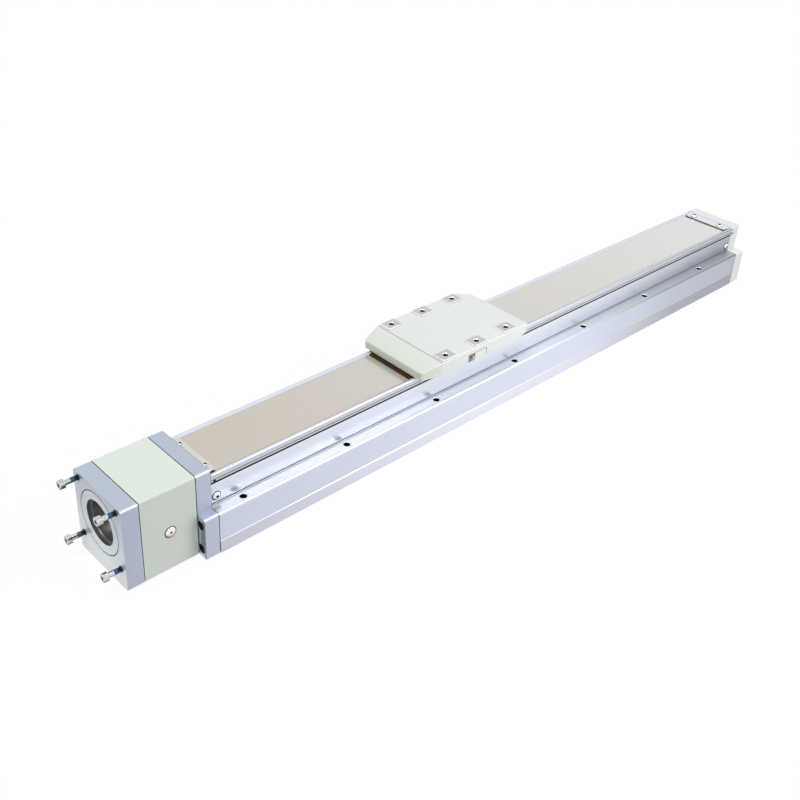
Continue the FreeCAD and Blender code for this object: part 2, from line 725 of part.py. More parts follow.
def coupling_hub(x0, bore, jaw_turn, jaws_after):
    """Clamping hub of the jaw coupling: three jaws, a bore, a clamp slit and a screw seat."""
    hub = rod_x(x0, x0 + COUPLING_HUB, 0, SCREW_AXIS, COUPLING_RADIUS)
    jaw0 = x0 + COUPLING_HUB if jaws_after else x0 - COUPLING_JAWS + FREE
    for index in range(JAWS):
        hub = hub.fuse(jaw_sector(jaw0, jaw0 + COUPLING_JAWS - FREE, JAW_INNER, JAW_OUTER,
                                  jaw_turn + 2 * JAW_PITCH * index, JAW_SWEEP))
    hub = hub.cut(rod_x(x0, x0 + COUPLING_HUB, 0, SCREW_AXIS, bore))
    top = SCREW_AXIS + COUPLING_RADIUS + 1
    hub = hub.cut(box(x0, x0 + COUPLING_HUB, -HUB_SLIT / 2, HUB_SLIT / 2, SCREW_AXIS, top))
    clamp_at = (x0 + COUPLING_HUB / 2, -HUB_SCREW_SEAT, SCREW_AXIS + HUB_SCREW_HEIGHT)
    hub = hub.cut(placed(many_sided(M3_SOCKET[1], COUPLING_RADIUS), clamp_at, (0, -1, 0)))
    return hub.cut(placed(many_sided(M3_SOCKET[0], COUPLING_RADIUS), clamp_at, (0, 1, 0)))


def coupling_spider():
    """Elastic star between the coupling's jaws."""
    x0 = coupling_start() + COUPLING_HUB + FREE
    x1 = x0 + COUPLING_JAWS - 2 * FREE
    star = rod_x(x0, x1, 0, SCREW_AXIS, SPIDER_CORE)
    sweep = JAW_PITCH - JAW_SWEEP - 2 * SPIDER_SIDE_GAP
    for index in range(2 * JAWS):
        start = JAW_SWEEP + SPIDER_SIDE_GAP + JAW_PITCH * index
        star = star.fuse(jaw_sector(x0, x1, SPIDER_CORE / 2, SPIDER_OUTER, start, sweep))
    return star.removeSplitter()


def ball_nut():
    """Flanged ball nut; its balls and threads are inside."""
    x0 = nut_face()
    flange_end = x0 + NUT_FLANGE_WIDTH
    bore = SCREW_RADIUS + FREE
    outline = [(x0, bore), (x0, NUT_FLANGE), (flange_end, NUT_FLANGE), (flange_end, NUT_RADIUS),
               (x0 + NUT_LENGTH, NUT_RADIUS), (x0 + NUT_LENGTH, bore)]
    nut = turned_x(outline, SCREW_AXIS)
    for y, z in nut_screw_places():
        nut = nut.cut(screw_hole(M3_SOCKET[0] + SCREW_GAP, NUT_FLANGE_WIDTH, (x0, y, z), (-1, 0, 0)))
    return nut


def nut_face():
    """Return the x of the ball nut's free face."""
    return CARRIAGE_AT - BODY_HALF - NUT_FLANGE_WIDTH


def nut_screw_places():
    """Return the (y, z) of the four screws in the nut's flange."""
    places = []
    for degrees in (30, 150, 210, 330):
        angle = math.radians(degrees)
        places.append((NUT_SCREW_CIRCLE * math.cos(angle),
                       SCREW_AXIS + NUT_SCREW_CIRCLE * math.sin(angle)))
    return places


def nut_screws():
    """Four screws that hold the nut's flange to the saddle."""
    return Part.makeCompound([socket_screw(M3_SOCKET, NUT_SCREW_LENGTH, (nut_face(), y, z), (-1, 0, 0))
                              for y, z in nut_screw_places()])


def pad_places():
    """Return the (x, y) of the six mounting pads."""
    return [(CARRIAGE_AT + step * PAD_PITCH, side * PAD_SPACING / 2)
            for step in (-1, 0, 1) for side in (1, -1)]


def saddle_runner():
    """Lower part of the saddle that runs between the rails."""
    x0 = CARRIAGE_AT - RUNNER_HALF
    x1 = CARRIAGE_AT + RUNNER_HALF
    runner = box(x0, x1, -RUNNER_WIDTH, RUNNER_WIDTH, RUNNER_BOTTOM, RUNNER_DECK)
    for side in (1, -1):
        y0, y1 = sorted((side * TOWER_INNER, side * RUNNER_WIDTH))
        runner = runner.fuse(box(x0, x1, y0, y1, RUNNER_BOTTOM, RAIL_TOP))
    ends = [edge for edge in runner.Edges if edge.BoundBox.XLength < 1e-3 and
            edge.BoundBox.YLength < 1e-3 and abs(edge.BoundBox.Center.y) > RUNNER_WIDTH - 0.1]
    return runner.makeChamfer(1.0, ends)


def saddle():
    """Carriage saddle: runner, nut housing, neck through the slot, and a strip trough.

    The table widens above the lips into two side bars with six pads; the strip runs in the
    trough between the bars, so the slot stays closed along the whole stroke.
    """
    x0 = CARRIAGE_AT - BODY_HALF
    x1 = CARRIAGE_AT + BODY_HALF
    body = saddle_runner()
    body = body.fuse(box(x0, x1, -RUNNER_WIDTH, RUNNER_WIDTH, RUNNER_DECK, BODY_TOP))
    body = body.fuse(box(x0, x1, -NECK_HALF, NECK_HALF, BODY_TOP, TABLE_BOTTOM))
    table_half = BODY_HALF - TABLE_SETBACK
    body = body.fuse(box(CARRIAGE_AT - table_half, CARRIAGE_AT + table_half, -BAR_OUTER, BAR_OUTER,
                         TABLE_BOTTOM, TABLE_TOP))
    roof = COVER_ROOF - COVER_WALL
    for side in (1, -1):
        y0, y1 = sorted((side * BAR_INNER, side * BAR_OUTER))
        bar = box(-BAR_HALF, BAR_HALF, y0, y1, TABLE_BOTTOM, roof)
        bar = bar.common(cover_block(COVER_WALL, COVER_BOTTOM))
        body = body.fuse(bar.translated(vec(CARRIAGE_AT, 0, 0)))
    for x, y in pad_places():
        body = body.fuse(box(x - PAD_LENGTH / 2, x + PAD_LENGTH / 2, y - PAD_WIDTH / 2 + FREE,
                             y + PAD_WIDTH / 2 - FREE, roof, PAD_TOP))
        body = body.cut(rod_z(PAD_TOP - PAD_HOLE_DEPTH, PAD_TOP, x, y, PAD_HOLE))
    return finish_saddle(body.removeSplitter(), x0, x1)


def finish_saddle(body, x0, x1):
    """Cut the saddle's nut bore, ball races, roller journals and nipple hole."""
    body = body.cut(rod_x(x0, x1, 0, SCREW_AXIS, NUT_RADIUS + RUNNING))
    tapped = NUT_SCREW_LENGTH - NUT_FLANGE_WIDTH + TAP_DEPTH_EXTRA
    for y, z in nut_screw_places():
        body = body.cut(screw_hole(M3_SOCKET[0], tapped, (x0, y, z), (-1, 0, 0)))
    runner0, runner1 = CARRIAGE_AT - RUNNER_HALF, CARRIAGE_AT + RUNNER_HALF
    journal = BAR_INNER + JOURNAL_DEPTH + ROLLER_END_PLAY
    for side in (1, -1):
        for z in RACE_HEIGHTS:
            body = body.cut(ball_race(runner0, runner1, side * race_centre(), z))
        for end in (1, -1):
            y0, y1 = sorted((side * BAR_INNER, side * journal))
            x = CARRIAGE_AT + end * lift_roller_place()
            body = body.cut(rod_y(y0, y1, x, lift_roller_height(), LIFT_ROLLER + RUNNING))
    depth = NIPPLE_THREAD_LENGTH + TAP_DEPTH_EXTRA
    return body.cut(screw_hole(NIPPLE_THREAD, depth, nipple_place(), (0, -1, 0)))


def nipple_place():
    """Return where the grease nipple sits on the saddle's near side bar."""
    return CARRIAGE_AT + NIPPLE_AT, -BAR_OUTER, NIPPLE_HEIGHT


def lift_roller_place():
    """Return how far the lift rollers lie from the carriage's middle."""
    return LIFT_END + ROLLER_AFTER_LIFT


def lift_roller_height():
    """Return the axis height of the lift rollers under the raised strip."""
    part = (LIFT_START - lift_roller_place()) / (LIFT_START - LIFT_END)
    return STRIP_BED + LIFT_HEIGHT * part * part * (3 - 2 * part) - FREE - LIFT_ROLLER


def lift_roller(end):
    """Needle roller under the raised strip, carried by the side bars."""
    reach = BAR_INNER + JOURNAL_DEPTH
    x = CARRIAGE_AT + end * lift_roller_place()
    return rod_y(-reach, reach, x, lift_roller_height(), LIFT_ROLLER)


def strip_guide(end):
    """Plastic guide at one end of the trough: two cheeks, a cross bar and a shoe on the strip."""
    near = BAR_HALF
    far = COVER_HALF_LENGTH - COVER_WALL
    bar_top = COVER_BOTTOM + GUIDE_BAR_HEIGHT
    parts = box(far - GUIDE_BAR_LENGTH, far, -GUIDE_HALF, GUIDE_HALF, COVER_BOTTOM, bar_top)
    shoe_end = COVER_HALF_LENGTH - SHOE_INSET
    shoe_half = STRIP_HALF - SHOE_SIDE_GAP
    parts = parts.fuse(box(shoe_end - SHOE_LENGTH, shoe_end, -shoe_half, shoe_half,
                           STRIP_TOP + SHOE_HEIGHT_GAP, bar_top))
    for side in (1, -1):
        y0, y1 = sorted((side * BAR_INNER, side * GUIDE_HALF))
        cheek = profile_y([(near, COVER_BOTTOM), (far, COVER_BOTTOM), (far, bar_top),
                           (near, COVER_BOTTOM + GUIDE_CHEEK_HEIGHT)], y0, y1)
        parts = parts.fuse(cheek)
    parts = parts.removeSplitter()
    if end < 0:
        parts = reversed_x(parts, 0)
    return parts.translated(vec(CARRIAGE_AT, 0, 0))


def wiper(end):
    """Rubber lip that sweeps the strip in front of the carriage."""
    far = COVER_HALF_LENGTH
    tip = far + WIPER_REACH
    seat = far - WIPER_SEAT
    back = COVER_BOTTOM - WIPER_THICKNESS
    edge = STRIP_TOP + FREE
    lower = profile_y([(seat, back), (far, back), (tip, edge + WIPER_THICKNESS), (tip, edge),
                       (seat + WIPER_SEAT / 2, edge)], -WIPER_HALF, WIPER_HALF)
    upper = box(seat, far, -WIPER_SEAT_HALF, WIPER_SEAT_HALF, back, COVER_BOTTOM)
    parts = lower.fuse(upper).removeSplitter()
    if end < 0:
        parts = reversed_x(parts, 0)
    return parts.translated(vec(CARRIAGE_AT, 0, 0))


def cover_prism(shrink, bottom):
    """Extrude the cover's plan with its tapered ends, drawn in by a wall, and round its end corners."""
    half_length = COVER_HALF_LENGTH - shrink
    half_width = COVER_HALF_WIDTH - shrink
    right = [(half_length, COVER_END_HALF - shrink), (COVER_FLAT_HALF, half_width)]
    upper = right + [(-x, y) for x, y in reversed(right)]
    corners = [vec(x, y, bottom) for x, y in upper + [(x, -y) for x, y in reversed(upper)]]
    prism = Part.Face(Part.makePolygon(corners + corners[:1]))
    prism = prism.extrude(vec(0, 0, COVER_ROOF - shrink - bottom))
    ends = [edge for edge in prism.Edges
            if edge.BoundBox.ZLength > 1 and abs(edge.BoundBox.Center.x) > half_length - 0.1]
    return prism.makeFillet(COVER_CORNER - shrink, ends)


def cover_block(shrink, bottom):
    """Return the cover's outer or inner volume: its plan cut to the sloped side view."""
    block = cover_prism(shrink, bottom)
    slope = (COVER_ROOF - COVER_END_TOP) / (COVER_HALF_LENGTH - COVER_FLAT_HALF)
    top = COVER_ROOF - shrink
    reach = COVER_HALF_LENGTH + 2
    low = top - slope * (reach - COVER_FLAT_HALF)
    side = profile_y([(-reach, bottom - 1), (reach, bottom - 1), (reach, low), (COVER_FLAT_HALF, top),
                      (-COVER_FLAT_HALF, top), (-reach, low)], -BASE_WIDTH, BASE_WIDTH)
    return block.common(side)


def carriage_cover():
    """Painted cover with sloped wings, six windows for the pads and a grease window."""
    outer = rounded_along_x(cover_block(0.0, COVER_BOTTOM), COVER_EDGE,
                            lambda c: c.z > COVER_ROOF - 0.05)
    shell = outer.cut(cover_block(COVER_WALL, COVER_BOTTOM - 1))
    for x, y in pad_places():
        x = x - CARRIAGE_AT
        shell = shell.cut(box(x - PAD_LENGTH / 2 - FREE, x + PAD_LENGTH / 2 + FREE, y - PAD_WIDTH / 2,
                              y + PAD_WIDTH / 2, COVER_ROOF - 2 * COVER_WALL, COVER_ROOF + 1))
    window = window_block(0, -COVER_HALF_WIDTH - 1, -COVER_HALF_WIDTH + COVER_WALL, COVER_BOTTOM - 1)
    return shell.cut(window).translated(vec(CARRIAGE_AT, 0, 0))


def window_block(gap, y0, y1, bottom):
    """Return the block with two rounded upper corners that fills the grease window."""
    top = WINDOW_TOP - gap
    block = box(WINDOW_START + gap, WINDOW_END - gap, y0, y1, bottom, top)
    corners = [edge for edge in block.Edges
               if edge.BoundBox.YLength > 1 and edge.BoundBox.ZMin > top - 0.1]
    return block.makeFillet(WINDOW_RADIUS - gap, corners)


def access_cap():
    """Cap in the cover's side window beside the grease nipple."""
    cap = window_block(WINDOW_GAP, -COVER_HALF_WIDTH, -BAR_OUTER, COVER_BOTTOM)
    cap = cap.translated(vec(CARRIAGE_AT, 0, 0))
    x, y, z = nipple_place()
    width, height = NIPPLE_OPENING
    return cap.cut(box(x - width / 2, x + width / 2, -COVER_HALF_WIDTH, y, z - height / 2, z + height / 2))


def grease_nipple():
    """Ball type grease nipple with a hexagon, screwed into the saddle's side bar."""
    thread = many_sided(NIPPLE_THREAD, NIPPLE_THREAD_LENGTH).translated(vec(0, 0, -NIPPLE_THREAD_LENGTH))
    body = thread.fuse(many_sided(NIPPLE_HEXAGON, NIPPLE_HEXAGON / 2, 6))
    body = body.fuse(many_sided(NIPPLE_NECK, NIPPLE_HEXAGON))
    body = body.fuse(many_sided(NIPPLE_HEAD, NIPPLE_NECK).translated(vec(0, 0, NIPPLE_HEXAGON)))
    return placed(body.removeSplitter(), nipple_place(), (0, -1, 0))


def write(name, shape):
    """Write one sub-part to its own file."""
    shape.exportStep("parts/" + name + ".step")


def write_frame():
    """Write the pieces that stay still."""
    write("base_profile", base_profile())
    write("guide_rail_left", guide_rail())
    write("guide_rail_right", mirrored(guide_rail()))
    write("side_cover_left", side_cover())
    write("side_cover_right", mirrored(side_cover()))
    write("magnet_strips", Part.makeCompound([magnet_strip(), mirrored(magnet_strip())]))
    write("side_screws", side_screws())
    write("groove_plugs", groove_plugs())
    write("cover_strip", cover_strip())
    write("strip_clamp_front", strip_clamp())
    write("strip_clamp_rear", reversed_x(strip_clamp(), 0))
    write("strip_clamp_screws", strip_clamp_screws())
    write("bumpers_front", bumpers())
    write("bumpers_rear", reversed_x(bumpers(), 0))


def write_ends():
    """Write the motor end and the far end."""
    write("bearing_block", bearing_block())
    write("bearing_block_screws", flange_screws(BLOCK_START, -1))
    write("bearing_set", bearing_set())
    write("coupling_housing", coupling_housing())
    write("access_plug", access_plug())
    write("motor_plate", motor_plate())
    write("motor_screws", motor_screws())
    write("rear_block", rear_block())
    write("end_cap", end_cap())
    write("end_cap_screws", flange_screws(CAP_END, 1))


def write_screw():
    """Write the pieces that turn with the screw."""
    write("screw_shaft", screw_shaft())
    write("lock_nut", lock_nut())
    start = coupling_start()
    write("coupling_hub_motor", coupling_hub(start, MOTOR_SHAFT, 0, True))
    write("coupling_spider", coupling_spider())
    write("coupling_hub_screw", coupling_hub(start + COUPLING_HUB + COUPLING_JAWS, DRIVE_RADIUS, 60, False))


def write_carriage():
    """Write the pieces that ride with the carriage and its two strip rollers."""
    write("saddle", saddle())
    write("ball_nut", ball_nut())
    write("nut_screws", nut_screws())
    write("carriage_cover", carriage_cover())
    write("access_cap", access_cap())
    write("grease_nipple", grease_nipple())
    for name, end in (("front", -1), ("rear", 1)):
        write("strip_guide_" + name, strip_guide(end))
        write("wiper_" + name, wiper(end))
        write("lift_roller_" + name, lift_roller(end))


os.makedirs("parts", exist_ok=True)
write_frame()
write_ends()
write_screw()
write_carriage()
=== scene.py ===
"""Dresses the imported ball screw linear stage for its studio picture.

Lengths are in millimetres until a point reaches Blender, which works in metres.
"""

import logging
import math
from abc import ABC, abstractmethod
from collections.abc import Callable, Iterator, Sequence
from contextlib import contextmanager
from dataclasses import dataclass
from enum import Enum
from functools import partialmethod

import bmesh
import bpy
from mathutils import Matrix, Vector


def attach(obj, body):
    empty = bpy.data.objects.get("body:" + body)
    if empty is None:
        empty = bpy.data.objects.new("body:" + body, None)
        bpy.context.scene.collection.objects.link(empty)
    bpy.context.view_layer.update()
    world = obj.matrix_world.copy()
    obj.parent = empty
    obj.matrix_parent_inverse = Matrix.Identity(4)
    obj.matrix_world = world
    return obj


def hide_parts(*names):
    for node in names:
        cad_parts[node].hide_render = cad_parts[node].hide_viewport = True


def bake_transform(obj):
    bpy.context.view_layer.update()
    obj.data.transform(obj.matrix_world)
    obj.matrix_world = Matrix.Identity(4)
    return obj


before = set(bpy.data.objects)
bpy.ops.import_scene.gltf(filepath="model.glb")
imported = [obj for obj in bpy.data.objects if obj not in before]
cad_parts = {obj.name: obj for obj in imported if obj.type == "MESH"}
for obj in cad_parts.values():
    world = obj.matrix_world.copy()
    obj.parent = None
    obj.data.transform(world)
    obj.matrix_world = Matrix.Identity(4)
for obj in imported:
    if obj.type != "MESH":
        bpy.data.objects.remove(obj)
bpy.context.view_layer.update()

MM = 0.001
HALF_LENGTH = 345.0
BED = 61.6
FLANGE_TOP = 36.7
TONGUE = (26.8, 28.2, 34.9)
SIDE_SCREW = (339.5, 43.3)
BOLT_ROWS = (7.5, 28.8)
BOLT_Y = 34.0
MOTOR_REACH = 35 * math.sqrt(0.5)
SCREW_AXIS = 41.5
CARRIAGE_X = -74.5
SEAM = 0.6
LONG = 100
SIGNS = (-1, 1)
UP, AHEAD, BACK, NEARWARD = (0, 0, 1), (1, 0, 0), (-1, 0, 0), (0, -1, 0)

log = logging.getLogger("stage")

Point = tuple[float, float, float]
Spot = tuple[float, float]
Pick = Callable[[Vector], bool]
Test = Callable[[Vector, Vector], bool]
Amount = "Wire | float | Sequence[float]"


class Axis(Enum):
    """The three directions of the stage."""

    X = 0
    Y = 1
    Z = 2

    def place(self, a: float, b: float, along: float) -> Point:
        """Sets a drawn point at a height along the axis.

        Args:
            a: First drawn coordinate.
            b: Second drawn coordinate.
            along: Height along the axis.

        Returns:
            The point as x, y and z.
        """
        return {Axis.X: (along, a, b), Axis.Y: (a, along, b), Axis.Z: (a, b, along)}[self]


class Side(Enum):
    """The two long sides of the stage."""

    NEAR = -1
    FAR = 1


class End(Enum):
    """The two ends of the travel."""

    MOTOR = -1
    TAIL = 1


class Piece:
    """One mesh on the bench and the moves that shape it."""

    def __init__(self, item: bpy.types.Object) -> None:
        """Takes a mesh object onto the bench."""
        self.item = item

    @staticmethod
    def clear() -> None:
        """Deselects everything."""
        bpy.ops.object.select_all(action="DESELECT")

    def pick(self, *others: "Piece") -> None:
        """Selects this piece, as the active one, with some others.

        Args:
            others: Pieces to select with it.
        """
        self.clear()
        for piece in (*others, self):
            piece.item.select_set(True)
        bpy.context.view_layer.objects.active = self.item

    @contextmanager
    def editing(self, mode: str = "EDGE") -> Iterator[bmesh.types.BMesh]:
        """Opens the piece in edit mode with nothing selected.

        Args:
            mode: Kind of element to select.

        Yields:
            The open mesh.
        """
        self.pick()
        bpy.ops.object.mode_set(mode="EDIT")
        bpy.ops.mesh.select_mode(type=mode)
        bpy.ops.mesh.select_all(action="DESELECT")
        yield bmesh.from_edit_mesh(self.item.data)
        bpy.ops.object.mode_set(mode="OBJECT")

    @staticmethod
    def face_out() -> None:
        """Turns all faces of the open mesh outward."""
        bpy.ops.mesh.select_all(action="SELECT")
        bpy.ops.mesh.normals_make_consistent(inside=False)

    @classmethod
    def drawn(cls, name: str, places: Sequence[Vector], filled: bool) -> "Piece":
        """Starts a piece from a ring whose corners are put in place.

        Args:
            name: Name of the piece.
            places: Corners of the outline in order.
            filled: Whether the outline is a face.

        Returns:
            The flat piece.
        """
        cls.clear()
        bpy.ops.mesh.primitive_circle_add(vertices=len(places), radius=0.01,
                                          fill_type="NGON" if filled else "NOTHING")
        item = bpy.context.object
        item.name = name
        for vertex, place in zip(item.data.vertices, places):
            vertex.co = place * MM
        return cls(item)

    @classmethod
    def extruded(cls, name: str, outline: Sequence[Spot], start: float, stop: float,
                 axis: Axis = Axis.X) -> "Piece":
        """Extrudes a closed outline along an axis.

        Args:
            name: Name of the piece.
            outline: Corners in the plane across the axis.
            start: Where the piece starts.
            stop: Where it ends.
            axis: Direction of the extrusion.

        Returns:
            The closed prism.
        """
        piece = cls.drawn(name, [Vector(axis.place(a, b, start)) for a, b in outline], True)
        run = Vector(axis.place(0, 0, stop - start)) * MM
        with piece.editing("FACE"):
            bpy.ops.mesh.select_all(action="SELECT")
            bpy.ops.mesh.extrude_region_move(TRANSFORM_OT_translate={"value": run})
            piece.face_out()
        return piece

    @classmethod
    def block(cls, name: str, low: Point, high: Point) -> "Piece":
        """Extrudes a rectangle up between two corners."""
        outline = [(low[0], low[1]), (high[0], low[1]), (high[0], high[1]), (low[0], high[1])]
        return cls.extruded(name, outline, low[2], high[2], Axis.Z)

    @classmethod
    def turned(cls, name: str, outline: Sequence[Spot], at: Point, way: Point,
               steps: int = 48) -> "Piece":
        """Spins an outline about an axis, as on a lathe.

        Args:
            name: Name of the piece.
            outline: Points as the way along the axis and the radius.
            at: Where the axis starts.
            way: Direction of the axis.
            steps: Facets around; six make a hexagon.

        Returns:
            The closed turned piece.
        """
        start, along = Vector(at), Vector(way)
        out = Vector((1, 0, 0)) if abs(along.z) > 0.5 else Vector((0, 0, 1))
        piece = cls.drawn(name, [start + along * a + out * r for a, r in outline], False)
        with piece.editing("VERT"):
            bpy.ops.mesh.select_all(action="SELECT")
            bpy.ops.mesh.spin(steps=steps, angle=math.tau, center=start * MM, axis=along)
            bpy.ops.mesh.select_all(action="SELECT")
            bpy.ops.mesh.remove_doubles(threshold=1e-6)
            bpy.ops.mesh.delete_loose()
            piece.face_out()
        return piece

    @classmethod
    def hole(cls, radius: float, depth: float, at: Point, way: Point, chamfer: float = 0.3,
             steps: int = 40) -> "Piece":
        """Turns the tool for a chamfered hole that is sunk against a direction.

        Args:
            radius: Radius of the hole.
            depth: How deep it goes.
            at: Middle of its mouth.
            way: Direction out of the mouth.
            chamfer: Width of the chamfer.
            steps: Facets around.

        Returns:
            The cutting tool.
        """
        mouth = radius + chamfer
        outline = [(-depth, 0), (-depth, radius), (-chamfer, radius), (0, mouth),
                   (1.0, mouth + 0.02), (1.0, 0)]
        return cls.turned("tool", outline, at, way, steps)

    @classmethod
    def of_node(cls, name: str, node: str) -> "Piece":
        """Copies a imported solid, merged and with its flat faces whole.

        Args:
            name: Name of the copy.
            node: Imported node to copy.

        Returns:
            The copy as an editable piece.
        """
        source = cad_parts[node]
        item = bpy.data.objects.new(name, source.data.copy())
        for key in list(item.keys()):
            del item[key]
        bpy.context.scene.collection.objects.link(item)
        item.data.materials.clear()
        piece = cls(item)
        with piece.editing("VERT"):
            bpy.ops.mesh.select_all(action="SELECT")
            bpy.ops.mesh.customdata_custom_splitnormals_clear()
            bpy.ops.mesh.remove_doubles(threshold=2e-6)
            bpy.ops.mesh.dissolve_limited(angle_limit=math.radians(0.5))
            piece.face_out()
        return piece

    def bevel(self, width: float, test: Test, segments: int = 3, profile: float = 0.5) -> "Piece":
        """Rounds the edges that pass a test.

        Args:
            width: Width of the rounding.
            test: Takes an edge's middle and its extent along each axis.
            segments: Facets across the rounding.
            profile: Shape across it; 0.5 is round and 0.25 flat.

        Returns:
            The same piece.
        """
        with self.editing("EDGE") as mesh:
            for edge in mesh.edges:
                a, b = (vertex.co / MM for vertex in edge.verts)
                extent = Vector(abs(x) for x in (a - b))
                edge.select_set(bool(test((a + b) / 2, extent)))
            bmesh.update_edit_mesh(self.item.data)
            bpy.ops.mesh.bevel(offset=width * MM, segments=segments, affect="EDGES",
                               profile=profile)
        return self

    def boolean(self, operation: str, tools: Sequence["Piece"]) -> "Piece":
        """Cuts the tools away from the piece or welds them to it.

        Args:
            operation: Kind of the boolean.
            tools: Pieces that are used up.

        Returns:
            The same piece.
        """
        tool = tools[0].join(*tools[1:])
        modifier = self.item.modifiers.new("shape", "BOOLEAN")
        modifier.operation = operation
        modifier.solver = "EXACT"
        modifier.object = tool.item
        self.pick()
        bpy.ops.object.modifier_apply(modifier=modifier.name)
        bpy.data.objects.remove(tool.item)
        return self

    def cut(self, *tools: "Piece") -> "Piece":
        """Cuts the tools away and uses them up."""
        return self.boolean("DIFFERENCE", tools)

    def weld(self, *tools: "Piece") -> "Piece":
        """Unites the piece with others and uses them up."""
        return self.boolean("UNION", tools)

    def join(self, *others: "Piece") -> "Piece":
        """Joins other pieces into this one as they are.

        Args:
            others: Pieces that are used up.

        Returns:
            The same piece.
        """
        if others:
            self.pick(*others)
            bpy.ops.object.join()
        return self

    def copied(self, *moves: Point) -> list["Piece"]:
        """Copies the piece, once for each move.

        Args:
            moves: How far each copy lies from the original.

        Returns:
            The copies, each with its own mesh.
        """
        copies = []
        for move in moves:
            item = self.item.copy()
            item.data = self.item.data.copy()
            bpy.context.scene.collection.objects.link(item)
            item.data.transform(Matrix.Translation(Vector(move) * MM))
            copies.append(Piece(item))
        return copies

    def mirrored(self, name: str, axis: Axis, at: float = 0.0) -> "Piece":
        """Copies the piece across the plane that crosses an axis at a place.

        Args:
            name: Name of the copy.
            axis: Axis that the plane crosses.
            at: Where the plane crosses it.

        Returns:
            The mirrored copy.
        """
        copy = self.copied((0, 0, 0))[0]
        copy.item.name = name
        scale = Matrix.Scale(-1, 4, Vector(axis.place(0, 0, 1)))
        shift = Matrix.Translation(Vector(axis.place(0, 0, at)) * 2 * MM)
        copy.item.data.transform(shift @ scale)
        with copy.editing("FACE"):
            copy.face_out()
        return copy

    def paint(self, test: Pick, index: int = 1) -> "Piece":
        """Marks faces for another finish.

        Args:
            test: Takes the middle of a face.
            index: Place of the finish among the piece's own.

        Returns:
            The same piece.
        """
        for face in self.item.data.polygons:
            if test(face.center / MM):
                face.material_index = index
        return self

    def set_back(self, test: Pick, inset: float, depth: float) -> "Piece":
        """Raises flat faces within their rim, so that a seam is left around them, its faces
        painted with shade.

        Args:
            test: Takes the middle of a face.
            inset: Depth of the seam.
            depth: Width of the seam.

        Returns:
            The same piece.
        """
        with self.editing("FACE") as mesh:
            known = len(mesh.faces)
            for face in mesh.faces:
                face.select_set(bool(test(face.calc_center_median() / MM)))
            bmesh.update_edit_mesh(self.item.data)
            bpy.ops.mesh.inset(thickness=inset * MM, depth=0.0)
            bpy.ops.mesh.inset(thickness=0.0, depth=depth * MM)
            mesh = bmesh.from_edit_mesh(self.item.data)
            mesh.faces.ensure_lookup_table()
            # The seam's new faces take index 1, which each piece gives the unlit finish: painted
            # shade.
            for face in mesh.faces[known:]:
                face.material_index = 1
            bmesh.update_edit_mesh(self.item.data)
        return self

    def dissolve(self) -> "Piece":
        """Makes flat regions single faces again."""
        with self.editing("EDGE"):
            bpy.ops.mesh.select_all(action="SELECT")
            bpy.ops.mesh.dissolve_limited(angle_limit=math.radians(0.5))
        return self

    def seat(self, body: str, finish: "Finish", *nodes: str, inner: "Sequence[Finish]" = (),
             smooth: float = 32.0) -> "Piece":
        """Finishes the piece and hands it to its body.

        Args:
            body: Body that the piece rides on.
            finish: Finish that it wears.
            nodes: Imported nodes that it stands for.
            inner: Finishes of the faces that were marked, by index.
            smooth: Largest angle that is shaded as a curve.

        Returns:
            The same piece.
        """
        self.pick()
        bpy.ops.object.transform_apply(location=True, rotation=True, scale=True)
        bpy.ops.object.shade_smooth_by_angle(angle=math.radians(smooth))
        modifier = self.item.modifiers.new("weights", "WEIGHTED_NORMAL")
        modifier.keep_sharp = True
        bpy.ops.object.modifier_apply(modifier=modifier.name)
        for worn in (finish, *inner):
            self.item.data.materials.append(worn.material())
        self.item.data.name = self.item.name
        if body:
            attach(self.item, body)
        for node in nodes:
            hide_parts(node)
        log.info("%s: %d faces, %s", self.item.name, len(self.item.data.polygons), finish.name)
        return self


@dataclass(frozen=True)
class Wire:
    """One output in a material, used in sums as if it were a number.

    Attributes:
        sheet: Material or world that it lies in.
        socket: The output.
    """

    sheet: "Sheet"
    socket: bpy.types.NodeSocket

    def sum(self, operation: str, other: Amount, turned: bool = False) -> "Wire":
        """Adds a Math node for one operation.

        Args:
            operation: Kind of the operation.
            other: The other number.
            turned: Whether the other number comes first.

        Returns:
            The result.
        """
        first, second = (other, self) if turned else (self, other)
        return self.sheet.node("ShaderNodeMath", {0: first, 1: second}, operation=operation)

    __add__ = partialmethod(sum, "ADD")
    __radd__ = partialmethod(sum, "ADD", turned=True)
    __sub__ = partialmethod(sum, "SUBTRACT")
    __rsub__ = partialmethod(sum, "SUBTRACT", turned=True)
    __mul__ = partialmethod(sum, "MULTIPLY")
    __rmul__ = partialmethod(sum, "MULTIPLY", turned=True)


